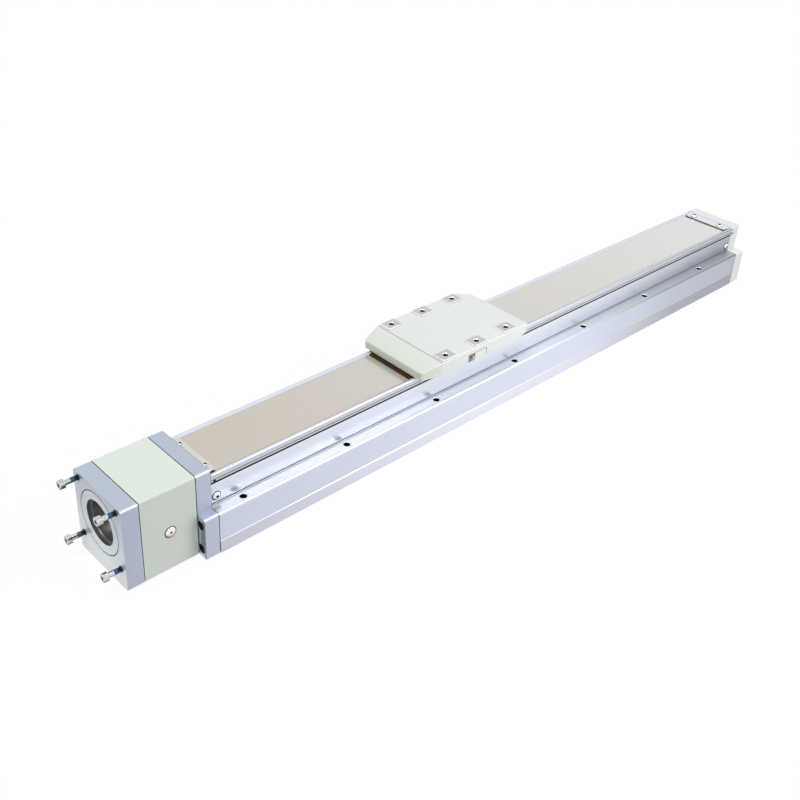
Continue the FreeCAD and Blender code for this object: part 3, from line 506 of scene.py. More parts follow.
class Sheet:
    """One node tree while it is laid out."""

    def __init__(self, owner: bpy.types.Material | bpy.types.World) -> None:
        """Empties the node tree of a material or a world.

        Args:
            owner: What the tree belongs to.
        """
        owner.use_nodes = True
        self.owner = owner
        self.tree = owner.node_tree
        self.tree.nodes.clear()

    def close(self, kind: str, surface: Wire) -> bpy.types.Material | bpy.types.World:
        """Joins the last shader to the output and returns the owner."""
        self.tree.links.new(surface.socket, self.tree.nodes.new(kind).inputs[0])
        return self.owner

    def node(self, kind: str, inputs: dict[int | str, Amount] | None = None, output: int | str = 0,
             stops: Sequence[tuple[float, float]] = (), **settings: object) -> Wire:
        """Adds a node.

        Args:
            kind: Type of the node.
            inputs: Values or wires for its sockets.
            output: Output to hand on.
            stops: Places and grey levels of a ramp.
            settings: Settings of the node, made first.

        Returns:
            The chosen output.
        """
        node = self.tree.nodes.new(kind)
        for key, value in settings.items():
            setattr(node, key, value)
        if stops:
            ramp = node.color_ramp.elements
            while len(ramp) < len(stops):
                ramp.new(0.5)
            for element, (place, level) in zip(ramp, stops):
                element.position = place
                element.color = (level, level, level, 1)
        for key, value in (inputs or {}).items():
            if isinstance(value, Wire):
                self.tree.links.new(value.socket, node.inputs[key])
            else:
                node.inputs[key].default_value = value
        return Wire(self, node.outputs[output])

    def place(self) -> Wire:
        """Returns the place on the object in metres."""
        return self.node("ShaderNodeTexCoord", output="Object")

    def along(self, axis: Axis) -> Wire:
        """Returns one coordinate of the place, in metres."""
        return self.node("ShaderNodeSeparateXYZ", {0: self.place()}, output=axis.value)

    def noise(self, scale: Point, detail: float = 2.0, roughness: float = 0.5,
              seed: float = 0.0) -> Wire:
        """Lays noise with its own scale along each axis.

        Args:
            scale: Grains per metre along each axis.
            detail: Octaves.
            roughness: How strong the fine octaves are.
            seed: Shift that gives another pattern.

        Returns:
            The noise level, about 0.2 to 0.8.
        """
        spot = self.node("ShaderNodeMapping", {"Vector": self.place(), "Scale": scale,
                                               "Location": (seed, seed, seed)})
        return self.node("ShaderNodeTexNoise", {"Vector": spot, "Scale": 1.0, "Detail": detail,
                                                "Roughness": roughness})

    def ramp(self, value: Wire, *stops: tuple[float, float]) -> Wire:
        """Spreads a value over grey levels."""
        return self.node("ShaderNodeValToRGB", {0: value}, stops=stops)

    def mixed(self, share: Amount, first: Amount, second: Amount, blend: str = "MIX") -> Wire:
        """Mixes two colours by a share."""
        return self.node("ShaderNodeMix", {0: share, 6: first, 7: second}, output=2,
                         data_type="RGBA", blend_type=blend, clamp_factor=True)

    def tinted(self, share: Amount, colour: Amount, tint: Amount) -> Wire:
        """Multiplies a colour by a tint, by a share."""
        return self.mixed(share, colour, tint, "MULTIPLY")

    def within(self, value: Wire, low: float, high: float) -> Wire:
        """Returns 1 where a value lies between two limits and 0 elsewhere."""
        half = (high - low) / 2
        return self.node("ShaderNodeMath", {0: value, 1: low + half, 2: half}, operation="COMPARE")


@dataclass(frozen=True)
class Finish:
    """A surface finish with patches, grain and relief.

    Attributes:
        name: Name of the material.
        slot: Slot of the record that it stands for; not used.
        light: Main colour.
        deep: Colour of its darker grain.
        metallic: How metallic it is.
        rough: Roughness of the smoothest and the roughest grain.
        grain: Grains per metre along each axis.
        patch: Patches per metre along each axis.
        relief: Height of the grain.
        coat: Weight of a clear coat.
        tint: What its colour is multiplied by at the far end of the span.
        span: Axis of the tint and where it starts and ends.
        levels: Places along the profile, from 0 to 1, and the brightness there.
        gloss: Specular level.
    """

    name: str
    slot: str
    light: Point
    deep: Point
    metallic: float = 0.0
    rough: Spot = (0.35, 0.5)
    grain: Point = (900, 900, 900)
    patch: Point = (12, 12, 12)
    relief: float = 0.01
    coat: float = 0.0
    tint: Point = (1, 1, 1)
    span: tuple[Axis, float, float] = (Axis.X, -HALF_LENGTH, HALF_LENGTH)
    levels: tuple[Spot, ...] = ()
    gloss: float = 0.5

    def material(self) -> bpy.types.Material:
        """Returns the material, laid out once."""
        known = bpy.data.materials.get(self.name)
        if known:
            return known
        sheet = Sheet(bpy.data.materials.new(self.name))
        grain, patch = self.grains(sheet)
        shader = sheet.node("ShaderNodeBsdfPrincipled", self.surface(sheet, grain, patch))
        return sheet.close("ShaderNodeOutputMaterial", shader)

    def grains(self, sheet: Sheet) -> tuple[Wire, Wire]:
        """Lays the fine grain and the broad patches.

        Args:
            sheet: Material that is laid out.

        Returns:
            Both, from 0 to 1.
        """
        grain = sheet.ramp(sheet.noise(self.grain, 4.0, 0.6), (0.3, 0.0), (0.7, 1.0))
        patch = sheet.ramp(sheet.noise(self.patch, 3.0, 0.55, 7.3), (0.32, 0.0), (0.68, 1.0))
        return grain, patch

    def surface(self, sheet: Sheet, grain: Wire, patch: Wire) -> dict[int | str, Amount]:
        """Works out the shader's inputs.

        Args:
            sheet: Material that is laid out.
            grain: Fine grain from 0 to 1.
            patch: Broad patches from 0 to 1.

        Returns:
            Values and wires by socket name.
        """
        shade = grain * 0.55 + patch * 0.45
        smooth, rough = self.rough
        bump = sheet.node("ShaderNodeBump", {"Strength": 0.5, "Distance": self.relief * MM,
                                             "Height": grain})
        colour = sheet.mixed(shade, (*self.light, 1), (*self.deep, 1))
        if self.tint != (1, 1, 1):
            axis, start, stop = self.span
            share = (sheet.along(axis) - start * MM) * (1 / ((stop - start) * MM))
            colour = sheet.tinted(share, colour, (*self.tint, 1))
        # Levels paint light and shade along the stage's length.
        if self.levels:
            share = sheet.along(Axis.X) * (0.5 / (HALF_LENGTH * MM)) + 0.5
            colour = sheet.tinted(1.0, colour, sheet.ramp(share, *self.levels))
        return {
            "Base Color": colour,
            "Metallic": self.metallic,
            "Roughness": smooth + (rough - smooth) * (0.5 * grain + 0.5 * patch),
            "Coat Weight": self.coat,
            "Specular IOR Level": self.gloss,
            "Normal": bump,
        }


@dataclass(frozen=True)
class ScrewFinish(Finish):
    """Bright screw steel with painted shade where it faces down.

    Attributes:
        under: What its colour is multiplied by on its underside, as painted shade.
    """

    under: Point = (0.17, 0.15, 0.135)

    def surface(self, sheet: Sheet, grain: Wire, patch: Wire) -> dict[int | str, Amount]:
        """Paints shade on the underside.

        Args:
            sheet: Material that is laid out.
            grain: Fine grain from 0 to 1.
            patch: Broad patches from 0 to 1.

        Returns:
            Values and wires by socket name.
        """
        inputs = super().surface(sheet, grain, patch)
        # Painted shade: faces that point down are darkened by how far they point down.
        facing = sheet.node("ShaderNodeNewGeometry", output="Normal")
        level = sheet.node("ShaderNodeSeparateXYZ", {0: facing}, output=2)
        share = sheet.ramp(level * 0.5 + 0.5, (0.0, 0.3), (0.2, 1.0), (0.42, 0.75), (0.5, 0.12),
                           (0.56, 0.0))
        inputs["Base Color"] = sheet.tinted(share, inputs["Base Color"], (*self.under, 1))
        return inputs


@dataclass(frozen=True)
class LockedFinish(ScrewFinish):
    """Screw steel with a patch of hardened thread lock on the shank.

    Attributes:
        patch_start: Where the patch starts along X.
        patch_end: Where it ends.
        ink: Colour of the thread lock where it starts.
        ink_in_shade: Its colour near the plate, darkened there with painted shade.
    """

    patch_start: float = -423.2
    patch_end: float = -415.2
    ink: Point = (0.004, 0.080, 0.23)
    ink_in_shade: Point = (0.004, 0.007, 0.016)

    def surface(self, sheet: Sheet, grain: Wire, patch: Wire) -> dict[int | str, Amount]:
        """Adds the patch over the steel.

        Args:
            sheet: Material that is laid out.
            grain: Fine grain from 0 to 1.
            patch: Broad patches from 0 to 1.

        Returns:
            Values and wires by socket name.
        """
        inputs = super().surface(sheet, grain, patch)
        x = sheet.along(Axis.X) + (sheet.noise((500, 500, 500), seed=3.0) - 0.5) * 0.002
        locked = sheet.within(x, self.patch_start * MM, self.patch_end * MM)
        # Painted shade: the lock darkens toward the plate, where the thread runs into the hole.
        share = (x - (self.patch_start + 2.2) * MM) * 500.0
        ink = sheet.mixed(share, (*self.ink, 1), (*self.ink_in_shade, 1))
        inputs["Base Color"] = sheet.mixed(locked, inputs["Base Color"], ink)
        inputs["Metallic"] = self.metallic - locked * self.metallic
        inputs["Roughness"] = inputs["Roughness"] + locked * 0.25
        return inputs


def even(count: float) -> Point:
    """Returns the same count along each axis."""
    return (count, count, count)


ANODISED, PAINT, SCREWS = "anodised_aluminium", "cream_paint", "stainless_screws"
DRAWN = {"metallic": 0.6, "rough": (0.26, 0.38), "grain": (3, 1500, 1500),
         "patch": (1.6, 60, 60), "relief": 0.004}
BLASTED = {"metallic": 0.55, "rough": (0.30, 0.38), "grain": even(1500), "patch": even(14),
           "span": (Axis.X, -417.0, -345.0)}
MILLED = {"metallic": 0.5, "rough": (0.30, 0.40), "grain": even(1300), "patch": even(16),
          "relief": 0.008}
ENAMEL = {"rough": (0.34, 0.44), "grain": even(800), "patch": even(9)}
GROUND = {"metallic": 0.85, "grain": (900, 120, 900), "patch": even(40), "relief": 0.004}
PLATED = {"grain": even(1400), "patch": even(80), "relief": 0.004}

# Profile anodising; the tint darkens it toward the tail end, painted shade.
PROFILE = Finish("profile_anodising", ANODISED, (0.73, 0.76, 0.85), (0.67, 0.70, 0.80),
                 tint=(0.90, 0.92, 0.92), **DRAWN)
# The base's outer sides: a lit copy of the anodising, with painted light that falls off toward the
# tail end.
FLANK_LIT = Finish("flank_painted_light", ANODISED, (0.76, 0.805, 0.94), (0.71, 0.755, 0.89), **DRAWN,
               levels=((0.0, 0.84), (0.32, 0.92), (0.6, 0.87), (0.83, 0.65), (1.0, 0.60)))
# The base's flank below the step: a lit copy of the anodising, with painted light that falls off
# toward the tail end.
FOOT_LIT = Finish("foot_painted_light", ANODISED, (0.79, 0.81, 0.92), (0.74, 0.76, 0.88), **DRAWN,
              levels=((0.0, 0.76), (0.22, 0.92), (0.4, 1.0), (0.62, 0.88), (0.83, 0.50),
                      (1.0, 0.45)))
# The flange's top: a lit copy of the anodising, with painted light that falls off toward the tail
# end.
FLANGE = Finish("flange_painted_light", ANODISED, (0.80, 0.82, 0.87), (0.74, 0.76, 0.82), **DRAWN,
                levels=((0.0, 0.93), (0.5, 1.0), (0.8, 0.70), (1.0, 0.57)))
# The covers' outer walls: painted shade that darkens them toward the foot and toward the tail end.
WALL_SHADED = Finish("wall_painted_shade", ANODISED, (0.84, 0.88, 0.96), (0.78, 0.82, 0.91), **DRAWN,
              tint=(0.86, 0.88, 0.92), span=(Axis.Z, 55.0, 38.0),
              levels=((0.0, 0.96), (0.5, 0.93), (0.75, 0.73), (1.0, 0.47)))
# The band under the covers' top: a darker copy of the anodising, painted shade that deepens toward
# the tail end.
BAND_SHADED = Finish("band_painted_shade", ANODISED, (0.62, 0.65, 0.71), (0.57, 0.60, 0.66), **DRAWN,
              levels=((0.0, 1.0), (0.5, 1.0), (0.8, 0.88), (1.0, 0.75)))
# Painted highlight on the flange's rounded corner, the step and the covers' top corner, fading
# toward the tail end.
RIM_HIGHLIGHT = Finish("rim_painted_highlight", ANODISED, (0.87, 0.92, 1.0), (0.81, 0.86, 0.95),
             **DRAWN | {"rough": (0.20, 0.28), "relief": 0.002},
             levels=((0.0, 1.0), (0.52, 0.97), (0.68, 0.62), (0.8, 0.38), (1.0, 0.28)))
# Painted shade in the grooves and in the saddle's threaded holes, deepest near the motor end.
GROOVE_SHADE = Finish("groove_painted_shade", ANODISED, (0.16, 0.165, 0.185), (0.12, 0.125, 0.145),
                **DRAWN | {"metallic": 0.4, "rough": (0.4, 0.5), "grain": (3, 900, 900)},
                levels=((0.0, 0.12), (0.1, 0.15), (0.35, 1.0), (1.0, 1.0)))
# The top faces of the block and the plate: their own copy of the blasted anodising, painted light.
TOP_LIT = Finish("blasted_top", ANODISED, (0.504, 0.556, 0.644), (0.461, 0.513, 0.608),
                tint=(0.948, 0.97, 0.99), **BLASTED)
# Blasted anodising of the block and the plate, lightened toward the bearing block's end with
# painted light.
BLOCK = Finish("blasted_anodising", ANODISED, (0.47, 0.515, 0.625), (0.43, 0.475, 0.59),
               tint=(1.13, 1.12, 1.12), **BLASTED)
# Painted highlight on the rounded upper corners of the block and the plate.
EDGE = Finish("bright_edge", ANODISED, (0.82, 0.83, 0.89), (0.76, 0.77, 0.83), 0.5,
              (0.20, 0.30), even(1500), even(14), 0.004)
SHADED = Finish("shaded_anodising", ANODISED, (0.27, 0.275, 0.285), (0.20, 0.205, 0.215), 0.4,
                (0.34, 0.44), even(1500), even(40), 0.008)
# Clamp anodising; the tint makes the tail clamp lighter and bluer than the motor clamp, painted
# light.
CLAMP = Finish("clamp_anodising", ANODISED, (0.70, 0.685, 0.63), (0.64, 0.625, 0.58),
               tint=(1.10, 1.16, 1.37), **MILLED | {"rough": (0.32, 0.42)})
# Faced anodising with a painted reflection: light overall and brighter toward the bottom.
FACED_REFLECTION = Finish("faced_anodising", ANODISED, (0.74, 0.79, 0.82), (0.69, 0.745, 0.775),
               tint=(0.62, 0.65, 0.70), span=(Axis.Z, 10.0, 72.0), **MILLED)
# The faced ring inside the groove, with the same painted reflection, brighter toward the bottom.
RINGED_REFLECTION = Finish("faced_ring", ANODISED, (0.80, 0.825, 0.83), (0.75, 0.775, 0.78),
                tint=(0.70, 0.72, 0.76), span=(Axis.Z, 14.0, 68.0), **MILLED)
# Painted shade inside the motor plate's bore.
BORE_SHADE = Finish("bore_painted_shade", ANODISED, (0.285, 0.305, 0.325), (0.21, 0.225, 0.24), 0.85,
               (0.26, 0.36), (2400, 500, 500), even(60), 0.002)
CREAM = Finish("cream_enamel", PAINT, (0.735, 0.805, 0.735), (0.71, 0.785, 0.715), coat=0.15,
               tint=(0.98, 0.95, 1.01), **ENAMEL)
# Cream paint of the carriage cover; the tint leaves its near wing darker and yellower than the
# rest, painted shade.
COVER = Finish("cream_cover", PAINT, (0.685, 0.735, 0.645), (0.66, 0.71, 0.62), coat=0.15,
               tint=(1.067, 1.055, 1.158), span=(Axis.X, -141.5, -116.0), **ENAMEL)
# Painted shade in the crease of the carriage cover's roof.
CREASE_SHADE = Finish("crease_painted_shade", PAINT, (0.53, 0.57, 0.52), (0.50, 0.54, 0.49),
                 **ENAMEL | {"rough": (0.40, 0.52)})
# Painted shade on the carriage cover's near end face.
END_SHADE = Finish("cream_turned_away", PAINT, (0.56, 0.605, 0.525), (0.53, 0.57, 0.495),
                  **ENAMEL | {"rough": (0.36, 0.46)})
# Rolled strip steel; the tint makes it lighter and bluer toward the tail end, painted light.
STRIP = Finish("rolled_strip", "strip_steel", (0.603, 0.558, 0.492), (0.583, 0.538, 0.472), 0.8,
               (0.18, 0.22), (6, 700, 700), (5, 14, 14), 0.001, tint=(1.22, 1.32, 1.50))
STEEL = Finish("ground_steel", "ground_steel", (0.72, 0.705, 0.715), (0.60, 0.59, 0.60),
               rough=(0.22, 0.36), **GROUND)
PAD = Finish("ground_pads", "ground_steel", (0.60, 0.585, 0.60), (0.51, 0.50, 0.51),
             rough=(0.24, 0.36), **GROUND)
# Painted highlight on the saddle's pad sides, chamfers and countersinks.
STEEL_HIGHLIGHT = Finish("bright_steel", "ground_steel", (0.97, 0.97, 0.98), (0.90, 0.90, 0.91), 0.7,
                (0.14, 0.24), even(1200), even(80), 0.002)
STAINLESS = ScrewFinish("stainless_steel", SCREWS, (0.94, 0.93, 0.90), (0.84, 0.83, 0.80), 0.9,
                        (0.16, 0.28), **PLATED)
TINTED = ScrewFinish("dull_steel", SCREWS, (0.66, 0.64, 0.59), (0.58, 0.56, 0.52), 0.85,
                     (0.14, 0.24), **PLATED)
LOCKED = LockedFinish("stainless_with_lock", SCREWS, (0.72, 0.715, 0.71), (0.48, 0.475, 0.47),
                      0.95, (0.07, 0.16), **PLATED)
BLACK = Finish("black_oxide", "black_screws", (0.030, 0.030, 0.032), (0.012, 0.012, 0.014), 0.6,
               (0.32, 0.48), even(1500), even(90), 0.006)
SHADE = Finish("unlit_recess", "black_screws", (0.012, 0.011, 0.012), (0.004, 0.004, 0.005),
               rough=(0.7, 0.9), patch=even(60), relief=0.004, gloss=0.1)
# Black rubber of the inner parts; the thin dark discs around screw heads wear it too, as painted
# shade, and so does the dark strip under the tail clamp.
RUBBER_AND_SHADE = Finish("black_rubber", "black_rubber", (0.030, 0.026, 0.024), (0.018, 0.016, 0.015),
                rough=(0.55, 0.72), grain=even(1200), patch=even(60))
WIPER = Finish("wiper_rubber", "black_rubber", (0.048, 0.022, 0.004), (0.030, 0.014, 0.003),
               rough=(0.60, 0.75), grain=even(1200), patch=even(60), gloss=0.12)
PLASTIC = Finish("moulded_plastic", "grey_plastic", (0.060, 0.036, 0.018),
                 (0.040, 0.024, 0.012), rough=(0.42, 0.58), grain=even(1000), patch=even(50),
                 gloss=0.3)
NIPPLE = Finish("plated_brass", "brass", (0.50, 0.44, 0.36), (0.34, 0.27, 0.20), 0.8,
                (0.24, 0.40), even(2000), even(220), 0.004)
HUB = Finish("turned_hub", "hub_aluminium", (0.42, 0.36, 0.31), (0.30, 0.25, 0.22), 0.85,
             (0.26, 0.42), (900, 160, 160), even(60), 0.006)
SPIDER = Finish("spider_elastomer", "spider_polyurethane", (0.34, 0.045, 0.035),
                (0.22, 0.030, 0.024), rough=(0.40, 0.55), patch=even(60), relief=0.008)


@dataclass(frozen=True)
class Lamp:
    """One light.

    Attributes:
        name: Name of the light.
        kind: SUN or AREA.
        energy: Its strength.
        toward: Direction from the stage to the light.
        size: Spread of a sun in degrees or width of an area.
        at: Where an area hangs.
    """

    name: str
    kind: str
    energy: float
    toward: Point
    size: float
    at: Point = (0, 0, 0)

    def hang(self) -> None:
        """Hangs the light."""
        Piece.clear()
        bpy.ops.object.light_add(type=self.kind, location=Vector(self.at) * MM,
                                 rotation=Vector(self.toward).to_track_quat("Z", "Y").to_euler())
        lamp = bpy.context.object
        lamp.name = self.name
        lamp.data.energy = self.energy
        if self.kind == "SUN":
            lamp.data.angle = math.radians(self.size)
        else:
            lamp.data.size = self.size * MM


@dataclass
class Studio:
    """The camera, the floor and the light.

    Attributes:
        at: Where the camera stands.
        turn: How it is turned about X, Y and Z, in degrees.
        lens: Focal length on a 36 mm sensor.
        shift: How far the picture is shifted, in widths.
        lamps: The lights.
        sky: Strength of the world on what scatters light.
        glow: Strength of the floor to the camera.
    """

    at: Point = (-672.47, -527.01, 528.86)
    turn: Point = (58.785, -2.762, -42.797)
    lens: float = 47.483
    shift: Spot = (0.02396, -0.06213)
    lamps: tuple[Lamp, ...] = (
        Lamp("key", "SUN", 1.72, (-0.40, -0.05, 0.915), 34.0),
        Lamp("edge", "SUN", 0.22, (0.43, -0.62, 0.66), 8.0),
        Lamp("fill", "AREA", 0.85, (0.0, -0.98, 0.20), 300.0, (100, -400, 160)),
    )
    sky: float = 0.45
    glow: float = 1.1

    def build(self) -> None:
        """Sets up the whole studio."""
        self.camera()
        self.floor()
        for lamp in self.lamps:
            lamp.hang()
        self.world()
        bpy.context.scene.view_settings.view_transform = "Standard"
        log.info("studio is set")

    def camera(self) -> None:
        """Sets the camera as the picture was taken."""
        Piece.clear()
        bpy.ops.object.camera_add(location=Vector(self.at) * MM,
                                  rotation=[math.radians(a) for a in self.turn])
        camera = bpy.context.object
        camera.name = "camera"
        camera.data.sensor_width = 36.0
        camera.data.lens = self.lens
        camera.data.shift_x, camera.data.shift_y = self.shift
        camera.data.clip_start = 0.01
        bpy.context.scene.camera = camera

    def floor(self) -> None:
        """Lays a pale floor that shows white to the camera and keeps a soft shadow."""
        Piece.clear()
        bpy.ops.mesh.primitive_plane_add(size=24.0, location=(0, 0, -0.0004))
        floor = bpy.context.object
        floor.name = "floor"
        with Piece(floor).editing("FACE"):
            bpy.ops.mesh.select_all(action="SELECT")
            bpy.ops.mesh.subdivide(number_cuts=3)
        sheet = Sheet(bpy.data.materials.new("pale_floor"))
        tone = sheet.mixed(sheet.noise((3, 3, 3)), (0.63, 0.63, 0.63, 1), (0.61, 0.61, 0.61, 1))
        matt = sheet.node("ShaderNodeBsdfDiffuse", {"Color": tone})
        glow = sheet.node("ShaderNodeEmission", {"Color": (1, 1, 1, 1), "Strength": self.glow})
        both = sheet.node("ShaderNodeMixShader", {0: self.seen(sheet) * 0.8, 1: matt, 2: glow})
        floor.data.materials.append(sheet.close("ShaderNodeOutputMaterial", both))

    @staticmethod
    def seen(sheet: Sheet) -> Wire:
        """Tells apart the rays that show the background.

        Args:
            sheet: World or material that is laid out.

        Returns:
            1 for those rays and 0 for the rest.
        """
        path = sheet.tree.nodes.new("ShaderNodeLightPath")
        rays = [Wire(sheet, path.outputs[name])
                for name in ("Is Camera Ray", "Is Glossy Ray", "Is Transmission Ray")]
        return sheet.node("ShaderNodeMath", {0: rays[0] + rays[1] + rays[2], 1: 1.0},
                          operation="MINIMUM")

    def world(self) -> None:
        """Makes the world white to the camera and softer on what scatters light."""
        sheet = Sheet(bpy.data.worlds.new("studio"))
        strength = self.sky + self.seen(sheet) * (1 - self.sky)
        glow = sheet.node("ShaderNodeBackground", {0: (1, 1, 1, 1), 1: strength})
        bpy.context.scene.world = sheet.close("ShaderNodeOutputWorld", glow)


def symmetric(right: Sequence[Spot]) -> list[Spot]:
    """Draws an outline from its right half, which starts at the foot."""
    (y, z), *_ = right
    return [(-y, z), *right, *((-y, z) for y, z in right[:0:-1])]


def ring(start: float, stop: float, radius: float, inner: float = 0.0) -> list[Spot]:
    """Draws the turned outline of a disc or a ring."""
    return [(start, inner), (start, radius), (stop, radius), (stop, inner)]


def counterbore(mouth: float, lip: float, seat: Spot, drill: Spot, sign: int = 1) -> list[Spot]:
    """Draws the turned tool for a counterbored hole.

    Args:
        mouth: Radius of its chamfered mouth.
        lip: Depth of the chamfer.
        seat: Depth and radius of the counterbore.
        drill: Depth and radius of the hole behind it.
        sign: 1 to sink it along the axis, -1 against it.

    Returns:
        The outline from above the mouth to the bottom.
    """
    (depth, radius), (end, inner) = seat, drill
    points = [(-1, 0), (-1, mouth), (0, mouth), (lip, radius), (depth, radius), (depth, inner),
              (end, inner), (end, 0)]
    return [(sign * along, r) for along, r in points]


def in_socket(at: Point, way: Point, low: float, high: float, key: float) -> Pick:
    """Makes the test for the faces of a socket.

    Args:
        at: Where the axis starts.
        way: Direction of the axis.
        low: Where the socket ends.
        high: Where it opens.
        key: Its largest radius.

    Returns:
        A test on the middle of a face.
    """
    start, axis = Vector(at), Vector(way)

    def test(middle: Vector) -> bool:
        """Returns whether a place lies between the limits and within the radius."""
        along = (middle - start).dot(axis)
        return low < along < high and (middle - start - axis * along).length < key

    return test


def on_corner(middle: Vector, half: float, top: float) -> bool:
    """Returns whether a face lies on the rounded upper corner of a block."""
    return half - 1.55 < abs(middle.y) < half - 0.03 and top - 1.55 < middle.z < top - 0.03


def painted_shade_ring(name: str, radius: float, at: Point, way: Point) -> None:
    """Turns the thin dark disc under a screw's head, painted shade that shows as a ring around it.
    """
    Piece.turned(name, ring(-0.3, 0.12, radius), at, way, 48).seat("base", RUBBER_AND_SHADE)


@dataclass
class Screw(ABC):
    """A screw of the base with a hexagon socket in its head.

    Attributes:
        shank: Radius of the shank.
        head: Radius of the head.
        height: Height of the head.
        key: Corner radius of the hexagon socket.
        length: Length of the shank.
    """

    shank: float
    head: float
    height: float
    key: float
    length: float

    def build(self, name: str, at: Point, way: Point, finish: Finish, *nodes: str) -> None:
        """Turns the screw and sinks its socket.

        Args:
            name: Name of the piece.
            at: Where the head sits.
            way: Direction out of the head.
            finish: Finish that it wears.
            nodes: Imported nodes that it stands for.
        """
        screw = Piece.turned(name, self.outline(), at, way, 40)
        socket, low, high = self.socket()
        screw.cut(Piece.turned("tool", socket, at, way, 6))
        # The socket's faces take painted shade.
        screw.paint(in_socket(at, way, low, high, self.key))
        screw.seat("base", finish, *nodes, inner=[SHADE])

    @abstractmethod
    def outline(self) -> list[Spot]:
        """Draws the turned outline from the tip to the top of the head."""

    @abstractmethod
    def socket(self) -> tuple[list[Spot], float, float]:
        """Draws the socket's tool and gives the limits of its dark faces."""


@dataclass
class ButtonScrew(Screw):
    """A screw with a low domed head."""

    def outline(self) -> list[Spot]:
        """Draws the shank and the dome."""
        r, h = self.head, self.height
        dome = [(h * (0.15 + 0.85 * math.sin(math.radians(a))),
                 r * (0.42 + 0.58 * math.cos(math.radians(a)))) for a in range(0, 91, 15)]
        return [(-self.length, 0), (-self.length, self.shank), (0, self.shank), (0, r - 0.08),
                *dome, (h, 0)]

    def socket(self) -> tuple[list[Spot], float, float]:
        """Draws the socket's tool and gives the limits of its dark faces."""
        h, key = self.height, self.key
        return [(h * 0.35, 0), (h * 0.42, key), (h + 1, key), (h + 1, 0)], h * 0.3, h - 0.02


@dataclass
class CapScrew(Screw):
    """A socket cap screw whose end can show its thread.

    Attributes:
        thread: Length of the thread.
        pitch: Pitch of the thread.
    """

    thread: float = 0.0
    pitch: float = 0.7

    def outline(self) -> list[Spot]:
        """Draws the ridges of the thread, the shank and the head."""
        r, h, s, end = self.head, self.height, self.shank, -self.length
        outline = [(end, 0), (end, s - 0.5)]
        ridges = int(self.thread / self.pitch)
        for k in range(ridges):
            x = end + 0.4 + k * self.pitch
            outline += [(x, s), (x + 0.12, s), (x + self.pitch / 2, s - 0.36)]
        return outline + [(end + 0.5 + ridges * self.pitch, s), (-0.2, s), (0, s + 0.2),
                          (0, r - 0.12), (0.12, r), (h - 0.45, r), (h - 0.12, r - 0.25),
                          (h, r - 0.55), (h, 0)]

    def socket(self) -> tuple[list[Spot], float, float]:
        """Draws the socket's tool and gives the limits of its dark faces."""
        h, key = self.height, self.key
        tool = [(h * 0.45, 0), (h * 0.55, key), (h - 0.2, key), (h, key + 0.2),
                (h + 1, key + 0.2), (h + 1, 0)]
        return tool, h * 0.4, h - 0.1

    @classmethod
    def hold(cls, name: str, side: Side, x: float, way: Point, node: str) -> None:
        """Builds one side's two screws that hold a block to the base's end.

        Args:
            name: First part of their names.
            side: Side of the stage.
            x: Where the heads sit.
            way: Direction out of the heads.
            node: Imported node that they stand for.
        """
        for z in BOLT_ROWS:
            cls(2.0, 3.5, 4.0, 1.75, 18.0).build(
                f"{name}_{side.name.lower()}_{z:.0f}", (x, side.value * BOLT_Y, z), way, BLACK,
                node)


def end_wells(x: float, outline: Sequence[Spot]) -> list[Piece]:
    """Turns the four tools for the screws that hold a block to the base's end."""
    return [Piece.turned("tool", outline, (x, side.value * BOLT_Y, z), AHEAD, 36)
            for side in Side for z in BOLT_ROWS]


